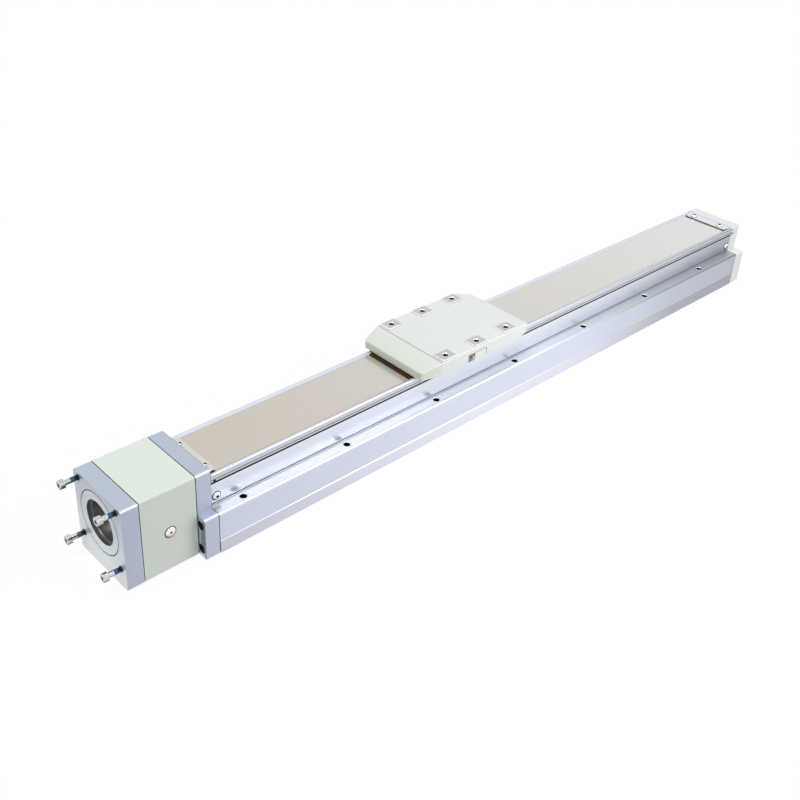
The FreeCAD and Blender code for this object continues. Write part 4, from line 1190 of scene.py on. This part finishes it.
@dataclass
class Profile:
    """The extruded base and its side covers.

    Attributes:
        half_width: Half of the base's width.
        step: Height and depth of the step in the flank.
        hole: Radius of the bolt-down holes.
        first_hole: Place of the first hole.
        pitch: Pitch of the holes.
        wall: Outer and inner face of a side cover.
        top: Top of a side cover.
        ledge: Outer edge of the strip's ledge.
        magnet: Inner and outer edge of the magnet's slot.
        lip: Inner edge and underside of the strip's ledge.
        grooves: Height, width and depth of the grooves in a side cover.
    """

    half_width: float = 40.0
    step: Spot = (11.0, 0.4)
    hole: float = 2.75
    first_hole: float = -320.0
    pitch: float = 100.0
    wall: Spot = (28.5, 25.5)
    top: float = 63.1
    ledge: float = 24.6
    magnet: Spot = (20.45, 23.45)
    lip: Spot = (19.5, 58.6)
    grooves: tuple[Point, ...] = ((37.65, 0.9, 0.8), (55.9, 1.6, 1.4), (58.5, 0.6, 0.5))

    def build(self) -> None:
        """Builds the base and the two covers."""
        self.base().seat("base", PROFILE, "base_profile", inner=[SHADE, FLANK_LIT, FLANGE, FOOT_LIT, RIM_HIGHLIGHT])
        far = self.cover()
        near = far.mirrored("side_cover_near", Axis.Y)
        for cover, node in ((near, "side_cover_right"), (far, "side_cover_left")):
            cover.seat("base", PROFILE, node, inner=[GROOVE_SHADE, WALL_SHADED, SHADE, RIM_HIGHLIGHT, BAND_SHADED])

    def base(self) -> Piece:
        """Extrudes the base and sinks its bolt holes."""
        (height, depth), outer, top = self.step, self.half_width, FLANGE_TOP
        near, far, foot = TONGUE
        half = [(outer, 0), (outer, height), (outer - depth, height + depth), (outer - depth, top),
                (far, top), (far, foot), (near, foot), (near, top), (25.3, top), (25.3, 15),
                (20.5, 15), (20.5, 12)]
        outline = half + [(-y, z) for y, z in reversed(half)]
        base = Piece.extruded("base_extrusion", outline, -HALF_LENGTH, HALF_LENGTH)
        for width, low, high, segments in ((1.9, top - 0.1, top + 1, 6), (0.5, -1, 0.1, 3),
                                           (0.2, height - 0.1, height + 0.5, 2)):
            base.bevel(width, lambda m, r: r.x > LONG and low < m.z < high
                       and abs(m.y) > outer - 1, segments)
        tool = Piece.hole(self.hole, top + 1, (self.first_hole, BOLT_Y, top), UP, 0.4, 36)
        moves = [(k * self.pitch, y, 0) for k in range(7) for y in (0, -2 * BOLT_Y) if k or y]
        base.cut(tool, *tool.copied(*moves))
        # Painted light: the outer sides, the flange's top and the flank below the step take their
        # own lit copies of the anodising, and the flange's rounded corner and the step's chamfer
        # take a painted highlight.
        base.paint(lambda m: abs(m.y) > outer - 0.45 and m.z < top - 1, 2)
        base.paint(lambda m: m.z > top - 0.02 and 29 < abs(m.y) < outer - 2, 3)
        base.paint(lambda m: abs(m.y) > outer - 0.05 and m.z < height - 0.2, 4)
        base.paint(lambda m: abs(m.y) > outer - 2 and top - 1.7 < m.z < top - 0.1
                   or abs(m.y) > outer - 0.5 and height < m.z < height + depth + 0.2, 5)
        # Painted shade in the bolt holes and in the channel under the covers.
        return base.paint(lambda m: 1 < m.z < top - 0.5 and 26.9 < abs(m.y) < 37
                          and (abs(m.y) > 31 or m.z > 34.8))

    def cover(self) -> Piece:
        """Extrudes the far side cover with its grooves, its lip and its screw holes."""
        (outer, inner), top, shelf = self.wall, self.top, FLANGE_TOP
        near, far, foot = TONGUE
        outline = [(inner, shelf), (near, shelf), (near, foot), (far, foot), (far, shelf),
                   (outer - 0.1, shelf), (outer, shelf + 0.1)]
        for z, width, depth in self.grooves:
            low, high = z - width / 2, z + width / 2
            outline += [(outer, low), (outer - depth, low), (outer - depth, high), (outer, high)]
        (start, stop), (lip, under) = self.magnet, self.lip
        outline += [(outer, top), (self.ledge + 2, top), (self.ledge, BED + 0.35),
                    (self.ledge, BED), (stop, BED), (stop, BED - 1), (start, BED - 1),
                    (start, BED), (lip, BED), (lip, under), (inner, under)]
        cover = Piece.extruded("side_cover_far", outline, -HALF_LENGTH, HALF_LENGTH)
        cover.bevel(0.8, lambda m, r: r.x > LONG and m.z > top - 0.1 and m.y > outer - 0.1, 5)
        cover.bevel(0.2, lambda m, r: r.x > LONG and m.z > top - 0.1 and m.y < outer - 1, 2)
        cover.bevel(0.12, lambda m, r: r.x > LONG and abs(m.y - outer) < 0.01
                    and abs(m.z - 55.9) < 0.8, 2)
        reach, height = SIDE_SCREW
        cover.cut(*(Piece.hole(2.2, 5, (x, outer, height), (0, 1, 0), 0.2, 32)
                    for x in (-reach, reach)),
                  Piece.hole(1.2, 2.4, (-340.6, outer, 57.0), (0, 1, 0), 0.1, 24))
        # Painted shade on the outer wall, in the grooves, in the small hole by the motor end and
        # on the band under the top; a painted highlight on the top's rounded corner.
        cover.paint(lambda m: m.y > outer - 0.02 and 38 < m.z < 55.2, 2)
        cover.paint(lambda m: inner + 0.5 < m.y < outer - 0.15 and 37.1 < m.z < 59)
        cover.paint(lambda m: m.x < -339 and m.y < outer - 0.15 and 55.4 < m.z < 58.6, 3)
        cover.paint(lambda m: m.y > outer - 0.02 and 56.5 < m.z < top - 0.7, 5)
        return cover.paint(lambda m: outer - 0.75 < m.y < outer - 0.02 and m.z > top - 0.75, 4)


@dataclass
class Strip:
    """The steel strip over the slot, with its clamps.

    Attributes:
        half_width: Half of the strip's width.
        thickness: Thickness of the strip.
        end: Where the strip ends.
        lift_start: Where the strip starts to rise, from the carriage's middle.
        lift_end: Where it is fully raised.
        rise: How far it rises.
        steps: Straight pieces in the rise.
        clamp_height: Height of a clamp plate.
        screw_y: How far the clamp screws lie from the middle.
    """

    half_width: float = 24.4
    thickness: float = 0.4
    end: float = 344.5
    lift_start: float = 60.0
    lift_end: float = 40.0
    rise: float = 6.6
    steps: int = 16
    clamp_height: float = 1.8
    screw_y: float = 16.0

    def build(self) -> None:
        """Builds the two runs of the strip and the clamps."""
        for end in End:
            run = self.run(end)
            run.seat("", STRIP, "cover_strip")
            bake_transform(run.item)
            self.clamp(end)

    def path(self, end: End, base: float) -> list[Spot]:
        """Lists the points of one face of a run, from the carriage outwards.

        Args:
            end: End that the run leads to.
            base: Height of the face where the strip lies flat.

        Returns:
            Points as x and z.
        """
        points = [(CARRIAGE_X, base + self.rise)]
        for step in range(self.steps + 1):
            part = 1 - step / self.steps
            x = self.lift_end + (self.lift_start - self.lift_end) * (step / self.steps)
            lift = self.rise * part * part * (3 - 2 * part)
            points.append((CARRIAGE_X + end.value * x, base + lift))
        return [*points, (end.value * self.end, base)]

    def run(self, end: End) -> Piece:
        """Bends one run of the strip.

        Args:
            end: End that it leads to.

        Returns:
            The run, from the carriage to its clamp.
        """
        under = self.path(end, BED)
        over = self.path(end, BED + self.thickness)
        return Piece.extruded(f"strip_{end.name.lower()}", under + over[::-1], -self.half_width,
                              self.half_width, Axis.Y)

    def clamp(self, end: End) -> None:
        """Builds a clamp plate with its two screws.

        Args:
            end: End that it clamps the strip at.
        """
        name, base, half = end.name.lower(), BED + self.thickness, self.half_width
        top = base + self.clamp_height
        if end is End.MOTOR:
            low, high, corner, x, node = -344.5, -336.0, 1.4, -339.5, "strip_clamp_front"
            screw, worn = ButtonScrew(1.25, 1.95, 1.0, 1.0, 6.0), TINTED
        else:
            low, high, corner, x, node = 334.4, 344.5, 3.2, 338.0, "strip_clamp_rear"
            screw, worn = ButtonScrew(1.25, 3.0, 1.8, 1.75, 6.0), STAINLESS
        plate = Piece.block(f"strip_clamp_{name}", (low, -half, base), (high, half, top))
        plate.bevel(corner, lambda m, r: r.z > 1 and end.value * m.x < 337, 6)
        plate.bevel(0.25, lambda m, r: m.z > top - 0.05, 2)
        plate.cut(*(Piece.hole(1.5, 3, (x, sign * self.screw_y, top), UP, 0.1, 24)
                    for sign in SIGNS))
        # Painted shade on the motor clamp's two end faces.
        plate.paint(lambda m: abs(m.y) > half - 0.02 and end is End.MOTOR)
        plate.seat("base", CLAMP, node, inner=[SHADE])
        if end is End.TAIL:
            # A thin dark block under the tail clamp that shows as a dark line along its edge
            # toward the carriage.
            dark_strip = Piece.block("strip_dark_line_tail", (low - 0.2, -half, top - 1.75),
                               (low + 6, half, top - 1.0))
            dark_strip.seat("base", RUBBER_AND_SHADE)
        for side in Side:
            at = (x, side.value * self.screw_y, top)
            if end is End.TAIL:
                # A dark disc under each tail clamp screw's head: painted shade.
                painted_shade_ring(f"clamp_screw_seat_{side.name.lower()}", 3.45, at, UP)
            screw.build(f"clamp_screw_{name}_{side.name.lower()}", at, UP, worn,
                        "strip_clamp_screws")


@dataclass
class MotorEnd:
    """The bearing block, the coupling housing and the motor plate.

    Attributes:
        plate: Start and end of the motor plate.
        housing_end: Where the coupling housing ends.
        block_end: Where the bearing block ends.
        half: Half width of the block and the housing.
        plate_half: Half width of the plate.
        top: Top of the three.
        foot: Gap under them.
        flange: Half width and top of the block's flange.
        plug: Middle of the plug's seat in the housing's side.
        groove: Inner and outer radius of the groove in the plate's face.
    """

    plate: Spot = (-417.1, -403.4)
    housing_end: float = -357.6
    block_end: float = -HALF_LENGTH
    half: float = 31.0
    plate_half: float = 31.25
    top: float = 70.7
    foot: float = 0.4
    flange: Spot = (39.6, FLANGE_TOP)
    plug: Point = (-380.4, -31.0, 33.7)
    groove: Spot = (24.3, 25.0)

    def build(self) -> None:
        """Builds the three blocks with their screws."""
        self.bearing_block().seat("base", BLOCK, "bearing_block",
                                  inner=[SHADE, SHADED, EDGE, TOP_LIT])
        self.housing().seat("base", CREAM, "coupling_housing", inner=[SHADE])
        self.motor_plate().seat("base", BLOCK, "motor_plate",
                                inner=[SHADE, FACED_REFLECTION, BORE_SHADE, EDGE, RINGED_REFLECTION, TOP_LIT])
        self.access_plug()
        for side in Side:
            CapScrew.hold("block_screw", side, self.housing_end + 5, BACK, "bearing_block_screws")
            for row, sign in zip(("low", "high"), SIGNS):
                at = (self.plate[0] - 10.7, side.value * MOTOR_REACH,
                      SCREW_AXIS + sign * MOTOR_REACH)
                CapScrew(2.0, 3.5, 4.0, 1.75, 20.0, 12.5).build(
                    f"motor_screw_{side.name.lower()}_{row}", at, BACK, LOCKED, "motor_screws")

    def access_plug(self) -> None:
        """Turns the flat plug on a thin dark disc in the housing's side, painted shade that rings
        its head.
        """
        x, y, z = self.plug
        # A thin dark disc under the head, painted shade that rings it.
        seat = Piece.turned("access_plug_seat", ring(-0.5, 0.15, 4.75), self.plug, NEARWARD, 56)
        seat.seat("base", RUBBER_AND_SHADE)
        ButtonScrew(2.5, 4.2, 0.8, 1.0, 6.0).build(
            "access_plug_screw", (x + 0.15, y - 0.15, z - 0.1), NEARWARD, STAINLESS,
            "access_plug")

    def bearing_block(self) -> Piece:
        """Mills the T-shaped bearing block with its nose and its bores."""
        (wide, low), half, top, foot = self.flange, self.half, self.top, self.foot
        start, stop = self.housing_end, self.block_end - SEAM
        outline = symmetric([(wide, foot), (wide, low), (half, low), (half, top)])
        block = Piece.extruded("bearing_block_milled", outline, start, stop)
        block.bevel(1.6, lambda m, r: r.x > 5 and (m.z > top - 0.1 or (
            abs(m.y) > wide - 0.1 and m.z > low - 0.1)), 4, 0.4)
        block.bevel(0.5, lambda m, r: r.x > 5 and m.z < foot + 0.1, 3)
        block.bevel(0.22, lambda m, r: r.x < 0.01 and abs(m.x - start) < 0.01, 2)
        outline = symmetric([(20.5, 12), (20.5, low), (25.5, low), (25.5, 58.6), (19.5, 58.6),
                             (19.5, BED)])
        nose = Piece.extruded("nose", outline, self.block_end - 1, self.block_end + 14)
        block.set_back(lambda m: m.x > stop - 0.01, SEAM, SEAM).weld(nose)
        bore = counterbore(14.4, 0.4, (18, 14), (27.6, 11.8))
        block.cut(Piece.turned("tool", bore, (start, 0, SCREW_AXIS), AHEAD, 72))
        block.cut(*end_wells(start, counterbore(4.0, 0.25, (5, 3.75), (14, 2.2))))
        # Painted shade in the screw wells and on the flange's front face beside the housing,
        # painted light on the top faces and a painted highlight on the rounded upper corners.
        block.paint(lambda m: start + 0.3 < m.x < stop - 0.1 and 29 < abs(m.y) < 38.5
                    and m.z < 33)
        block.paint(lambda m: m.x < start + 0.26 and abs(m.y) > half and m.z < low - 1, 2)
        block.paint(lambda m: m.z > top - 0.02, 4)
        return block.paint(lambda m: on_corner(m, half, top) or on_corner(m, wide, low), 3)

    def housing(self) -> Piece:
        """Cuts the coupling housing, a rounded square tube with an access hole."""
        half, start, stop = self.half, self.plate[1], self.housing_end
        outline = symmetric([(half, self.foot), (half, self.top)])
        housing = Piece.extruded("coupling_housing_painted", outline, start + SEAM, stop - SEAM)
        housing.bevel(1.3, lambda m, r: r.x > 5, 6)
        housing.bevel(0.3, lambda m, r: r.x < 0.01, 3)
        housing.set_back(lambda m: not start + SEAM + 0.01 < m.x < stop - SEAM - 0.01, 0.5, SEAM)
        housing.cut(Piece.turned("tool", ring(-1, 47, 23), (start, 0, SCREW_AXIS), AHEAD, 96))
        return housing.cut(Piece.hole(2.7, 9, self.plug, NEARWARD, 0.4))

    def motor_plate(self) -> Piece:
        """Turns and drills the motor plate."""
        half, foot, top, (start, stop) = self.plate_half, self.foot, self.top, self.plate
        outline = symmetric([(half, foot), (half, top)])
        plate = Piece.extruded("motor_plate_turned", outline, start, stop)
        plate.bevel(1.6, lambda m, r: r.x > 5 and m.z > top - 0.1, 4, 0.4)
        plate.bevel(1.4, lambda m, r: r.x > 5 and m.z < foot + 0.1, 6)
        plate.bevel(0.3, lambda m, r: r.x < 0.01, 3)
        middle = (start, 0, SCREW_AXIS)
        seat = counterbore(17.9, 0.4, (4, 17.5), (15, 16.2))
        plate.cut(Piece.turned("tool", seat, middle, AHEAD, 96))
        inner, outer = self.groove
        plate.cut(Piece.turned("tool", ring(-1, 1.5, outer, inner), middle, AHEAD, 128))
        plate.cut(*(Piece.hole(2.05, 16, (start, y * MOTOR_REACH, SCREW_AXIS + z * MOTOR_REACH),
                               BACK, 0.6) for y in SIGNS for z in SIGNS))

        def off(m: Vector) -> float:
            """Returns how far a point lies from the screw's axis."""
            return math.hypot(m.y, m.z - SCREW_AXIS)

        # Painted reflection on the front face and on the ring inside the groove, painted shade in
        # the bore, in the screw holes and in the groove, painted light on the top and a painted
        # highlight on the rounded upper corners.
        plate.paint(lambda m: m.x < start + 0.05, 2)
        plate.paint(lambda m: m.x > start + 0.45 and off(m) < 20, 3)
        plate.paint(lambda m: on_corner(m, half, top), 4)
        plate.paint(lambda m: m.z > top - 0.02, 6)
        plate.paint(lambda m: m.x < start + 0.5 and 17.4 < off(m) < 24.2, 5)
        return plate.paint(lambda m: start + 0.1 < m.x < stop - 0.5 and m.z > foot + 0.5
                           and 24.2 < off(m) < 37.2 and abs(m.y) < half - 1 and m.z < top - 1)


@dataclass
class TailEnd:
    """The painted end cap.

    Attributes:
        start: Where it starts.
        stop: Where it ends.
        half: Half width of its upper part.
        top: Top of its upper part.
        flange: Half width and top of its flange.
        foot: Gap under it.
    """

    start: float = HALF_LENGTH
    stop: float = 359.0
    half: float = 28.5
    top: float = 64.1
    flange: Spot = (40.5, FLANGE_TOP)
    foot: float = 1.0

    def build(self) -> None:
        """Builds the end cap and its screws."""
        (wide, low), half, top = self.flange, self.half, self.top
        start, stop = self.start, self.stop
        outline = symmetric([(wide, self.foot), (wide, low), (half, low), (half, top)])
        cap = Piece.extruded("end_cap_painted", outline, start, stop)
        cap.bevel(1.3, lambda m, r: r.x > 5 and (m.z > top - 0.1 or abs(m.y) > wide - 0.1), 5)
        cap.bevel(0.6, lambda m, r: r.x < 0.01 and m.x > stop - 0.1, 3)
        cap.cut(*end_wells(stop, counterbore(4.1, 0.3, (5, 3.75), (15, 2.2), -1)))
        # Painted shade in the screw wells.
        cap.paint(lambda m: start + 0.1 < m.x < stop - 0.4 and 29 < abs(m.y) < 38.5
                  and 3 < m.z < 33)
        cap.seat("base", CREAM, "end_cap", inner=[SHADE])
        for side in Side:
            CapScrew.hold("cap_screw", side, stop - 5, AHEAD, "end_cap_screws")


@dataclass
class SideScrews:
    """The screws in the side covers and the set screws in the end cap.

    Attributes:
        wall: Outer face of the side covers.
        set_screw: Place of a set screw along the stage and its height.
    """

    wall: float = 28.5
    set_screw: Spot = (347.0, 58.4)

    def build(self) -> None:
        """Builds the screws, each on a thin dark disc of painted shade that rings its head."""
        reach, height = SIDE_SCREW
        for end in End:
            for side in Side:
                name = f"{end.name.lower()}_{side.name.lower()}"
                x, y, way = end.value * reach, side.value * self.wall, (0, side.value, 0)
                # Dark disc under the head: painted shade.
                painted_shade_ring(f"side_screw_seat_{name}", 3.95, (x, y, height), way)
                ButtonScrew(2.0, 3.45, 1.3, 1.4, 8.0).build(
                    f"side_screw_{name}", (x, y + side.value * 0.12, height), way, STAINLESS,
                    "side_screws")
        x, z = self.set_screw
        for side in Side:
            name, at, way = side.name.lower(), (x, side.value * self.wall, z), (0, side.value, 0)
            # Dark disc under the head: painted shade.
            painted_shade_ring(f"tail_set_screw_seat_{name}", 2.35, at, way)
            ButtonScrew(1.0, 1.9, 0.9, 1.1, 3.0).build(f"tail_set_screw_{name}", at, way,
                                                       STAINLESS)


@dataclass
class Carriage:
    """The painted cover with its cap, the saddle's pads and the grease nipple.

    Attributes:
        at: Middle of the carriage.
        half_length: Half of the cover's length.
        flat_half: Half length of the flat roof.
        half_width: Half of the cover's width.
        end_half: Half width of its end faces.
        roof: Height of the roof.
        end_top: Height of the wings' ends.
        bottom: Lower edge.
        corner: How far the rounding of an upright end corner reaches along its faces.
        wall: Thickness of the cover.
        pad_top: Height of the pads.
        pad: Length and width of a pad.
        spread: Pitch of the pads along the stage and their way from its middle.
        cap_face: Where the cap lies behind the cover's side.
    """

    at: float = CARRIAGE_X
    half_length: float = 67.0
    flat_half: float = 47.5
    half_width: float = 39.5
    end_half: float = 34.8
    roof: float = 76.0
    end_top: float = 71.0
    bottom: float = 63.7
    corner: float = 3.15
    wall: float = 1.6
    pad_top: float = 77.2
    pad: Spot = (15.6, 12.2)
    spread: Spot = (37.5, 32.5)
    cap_face: float = -37.7

    def build(self) -> None:
        """Builds the cover, the saddle, the cap and the nipple."""
        self.cover().seat("carriage", COVER, "carriage_cover", inner=[CREASE_SHADE, END_SHADE, SHADE],
                          smooth=12.5)
        self.saddle().seat("carriage", STEEL, "saddle", inner=[GROOVE_SHADE, STEEL_HIGHLIGHT, PAD], smooth=28)
        self.cap().seat("carriage", CREAM, "access_cap")
        self.nipple().seat("carriage", NIPPLE, "grease_nipple")

    def pads(self) -> list[Spot]:
        """Lists the middles of the six pads."""
        pitch, reach = self.spread
        return [(self.at + step * pitch, side.value * reach) for step in (-1, 0, 1)
                for side in Side]

    def saddle(self) -> Piece:
        """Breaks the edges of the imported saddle's pads and of their holes."""
        saddle, top = Piece.of_node("saddle_ground", "saddle"), self.pad_top

        def off(m: Vector) -> float:
            """Returns how far a point lies from the nearest hole's axis."""
            return min(math.hypot(m.x - x, m.y - y) for x, y in self.pads())

        def tools(outline: Sequence[Spot]) -> list[Piece]:
            """Turns one tool for each hole."""
            return [Piece.turned("tool", outline, (x, y, top), UP, 40) for x, y in self.pads()]

        saddle.weld(*tools(ring(-9, 0, 2.75, 2.35)))
        saddle.cut(*tools([(-0.45, 0), (-0.45, 2.3), (0, 2.75), (1, 2.75), (1, 0)]))
        saddle.bevel(0.4, lambda m, r: abs(m.z - top) < 0.01 and off(m) > 5
                     and min(r.x, r.y) < 0.01, 1)
        # Painted highlight on the pads' sides, chamfers and countersinks, and painted shade in
        # their threaded holes.
        saddle.paint(lambda m: 72 < m.z < top - 0.02 and off(m) > 1.6, 2)
        saddle.paint(lambda m: m.z > top - 0.02, 3)
        return saddle.paint(lambda m: 64 < m.z < top - 0.44 and off(m) < 2.6)

    def plan(self, shrink: float) -> list[Spot]:
        """Draws the plan with its tapered ends.

        Args:
            shrink: How far it is drawn in on all sides.

        Returns:
            The outline.
        """
        width, length, end = (v - shrink
                              for v in (self.half_width, self.half_length, self.end_half))
        flat = self.flat_half
        upper = [(length, end), (flat, width), (-flat, width), (-length, end)]
        return [(self.at + x, y) for x, y in upper + [(x, -y) for x, y in reversed(upper)]]

    def volume(self, shrink: float, bottom: float) -> Piece:
        """Builds the outer or inner volume and slopes its wings.

        Args:
            shrink: How far it is drawn in from the outer one.
            bottom: Lower edge.

        Returns:
            The closed volume.
        """
        top, flat = self.roof - shrink, self.flat_half
        volume = Piece.extruded("carriage_cover_painted", self.plan(shrink), bottom, top, Axis.Z)
        volume.bevel(self.corner - shrink,
                     lambda m, r: r.z > 1 and abs(m.x - self.at) > flat + 1, 9)
        run, fall = self.half_length - flat, self.roof - self.end_top
        for end in End:
            with volume.editing("FACE"):
                bpy.ops.mesh.select_all(action="SELECT")
                bpy.ops.mesh.bisect(plane_co=Vector((self.at + end.value * flat, 0, top)) * MM,
                                    plane_no=Vector((end.value * fall, 0, run)).normalized(),
                                    use_fill=True, clear_outer=True, threshold=1e-6)
        return volume

    def cover(self) -> Piece:
        """Builds the hollow cover with its windows."""
        roof, side, end = self.roof, self.half_width, self.at - self.half_length
        cover = self.volume(0.0, self.bottom).dissolve()
        cover.bevel(1.1, lambda m, r: m.z > self.end_top - 0.2 and not (
            abs(abs(m.x - self.at) - self.flat_half) < 0.1 and r.y > 60), 8)
        crease = self.at - self.flat_half
        cover.cut(Piece.block("tool", (crease - 0.6, -41, roof - 0.45),
                              (crease + 0.5, 41, roof + 1)))
        cover.bevel(0.35, lambda m, r: m.z < self.bottom + 0.05, 2)
        cover.cut(self.volume(self.wall, self.bottom - 1))
        half_x, half_y = self.pad[0] / 2 + 0.25, self.pad[1] / 2
        cover.cut(*(Piece.block("tool", (x - half_x, y - half_y, 72.5),
                                (x + half_x, y + half_y, 78)) for x, y in self.pads()))
        cover.cut(self.window(0.0, -side - 1, -side + self.wall, 62))
        # Painted shade in the crease, on the window's edges around the cap and on the near end
        # face.
        cover.paint(lambda m: abs(m.x - crease) < 0.65 and m.z > roof - 0.9)
        cover.paint(lambda m: self.at - 17 < m.x < self.at + 7.5 and m.z < 71.6
                    and -side + 0.02 < m.y < -side + self.wall - 0.02, 3)
        return cover.paint(lambda m: m.x < end + 0.9 and m.z < self.end_top - 0.9, 2)

    def window(self, gap: float, y0: float, y1: float, bottom: float) -> Piece:
        """Builds the block that fills the grease window.

        Args:
            gap: Gap that it leaves on three sides.
            y0: Outer face.
            y1: Inner face.
            bottom: Lower edge.

        Returns:
            The block.
        """
        block = Piece.block("tool", (self.at - 16.3 + gap, y0, bottom),
                            (self.at + 6.7 - gap, y1, 71.5 - gap))
        return block.bevel(2.0, lambda m, r: r.y > 1 and m.z > 71, 5)

    def cap(self) -> Piece:
        """Builds the cap beside the nipple, with its square opening."""
        cap = self.window(0.4, -self.half_width, self.cap_face, self.bottom)
        cap.item.name = "access_cap_painted"
        return cap.cut(Piece.block("tool", (self.at - 15.35, -41, 64.3),
                                   (self.at - 7.65, -37, 70.9)))

    def nipple(self) -> Piece:
        """Turns the grease nipple with its hexagon and its ball head."""
        at = (self.at - 11.5, self.cap_face, 67.6)
        body = [(-6, 0), (-6, 2), (1.3, 2), (1.3, 1.3), (2.2, 1.2), (2.7, 1.75), (3.4, 1.9),
                (4.0, 1.5), (4.35, 0.8), (4.35, 0)]
        nut = [(0, 0), (0, 3.1), (0.2, 3.25), (1.6, 3.25), (1.8, 3.05), (1.8, 0)]
        nipple = Piece.turned("grease_nipple_turned", body, at, NEARWARD, 32)
        return nipple.weld(Piece.turned("hexagon", nut, at, NEARWARD, 6))


INSIDE = {
    STEEL: ("guide_rail_left", "guide_rail_right", "bearing_set", "screw_shaft", "lock_nut",
            "ball_nut", "lift_roller_front", "lift_roller_rear"),
    RUBBER_AND_SHADE: ("magnet_strips", "groove_plugs", "bumpers_front", "bumpers_rear"),
    FACED_REFLECTION: ("rear_block",),
    HUB: ("coupling_hub_motor", "coupling_hub_screw"),
    SPIDER: ("coupling_spider",),
    BLACK: ("nut_screws",),
    PLASTIC: ("strip_guide_front", "strip_guide_rear"),
    WIPER: ("wiper_front", "wiper_rear"),
}


@dataclass
class Internals:
    """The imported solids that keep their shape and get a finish.

    Attributes:
        dressed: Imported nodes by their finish.
    """

    dressed: dict[Finish, tuple[str, ...]]

    def build(self) -> None:
        """Puts each finish on its nodes' slots."""
        for finish, nodes in self.dressed.items():
            for node in nodes:
                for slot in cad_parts[node].material_slots:
                    slot.material = finish.material()
                log.info("%s: packed solid, %s", node, finish.name)


def main() -> None:
    """Builds the studio and the stage in order."""
    logging.basicConfig(level=logging.INFO, format="%(message)s")
    for part in (Studio(), Profile(), Strip(), MotorEnd(), TailEnd(), SideScrews(), Carriage(),
                 Internals(INSIDE)):
        part.build()


if __name__ == "__main__":
    main()
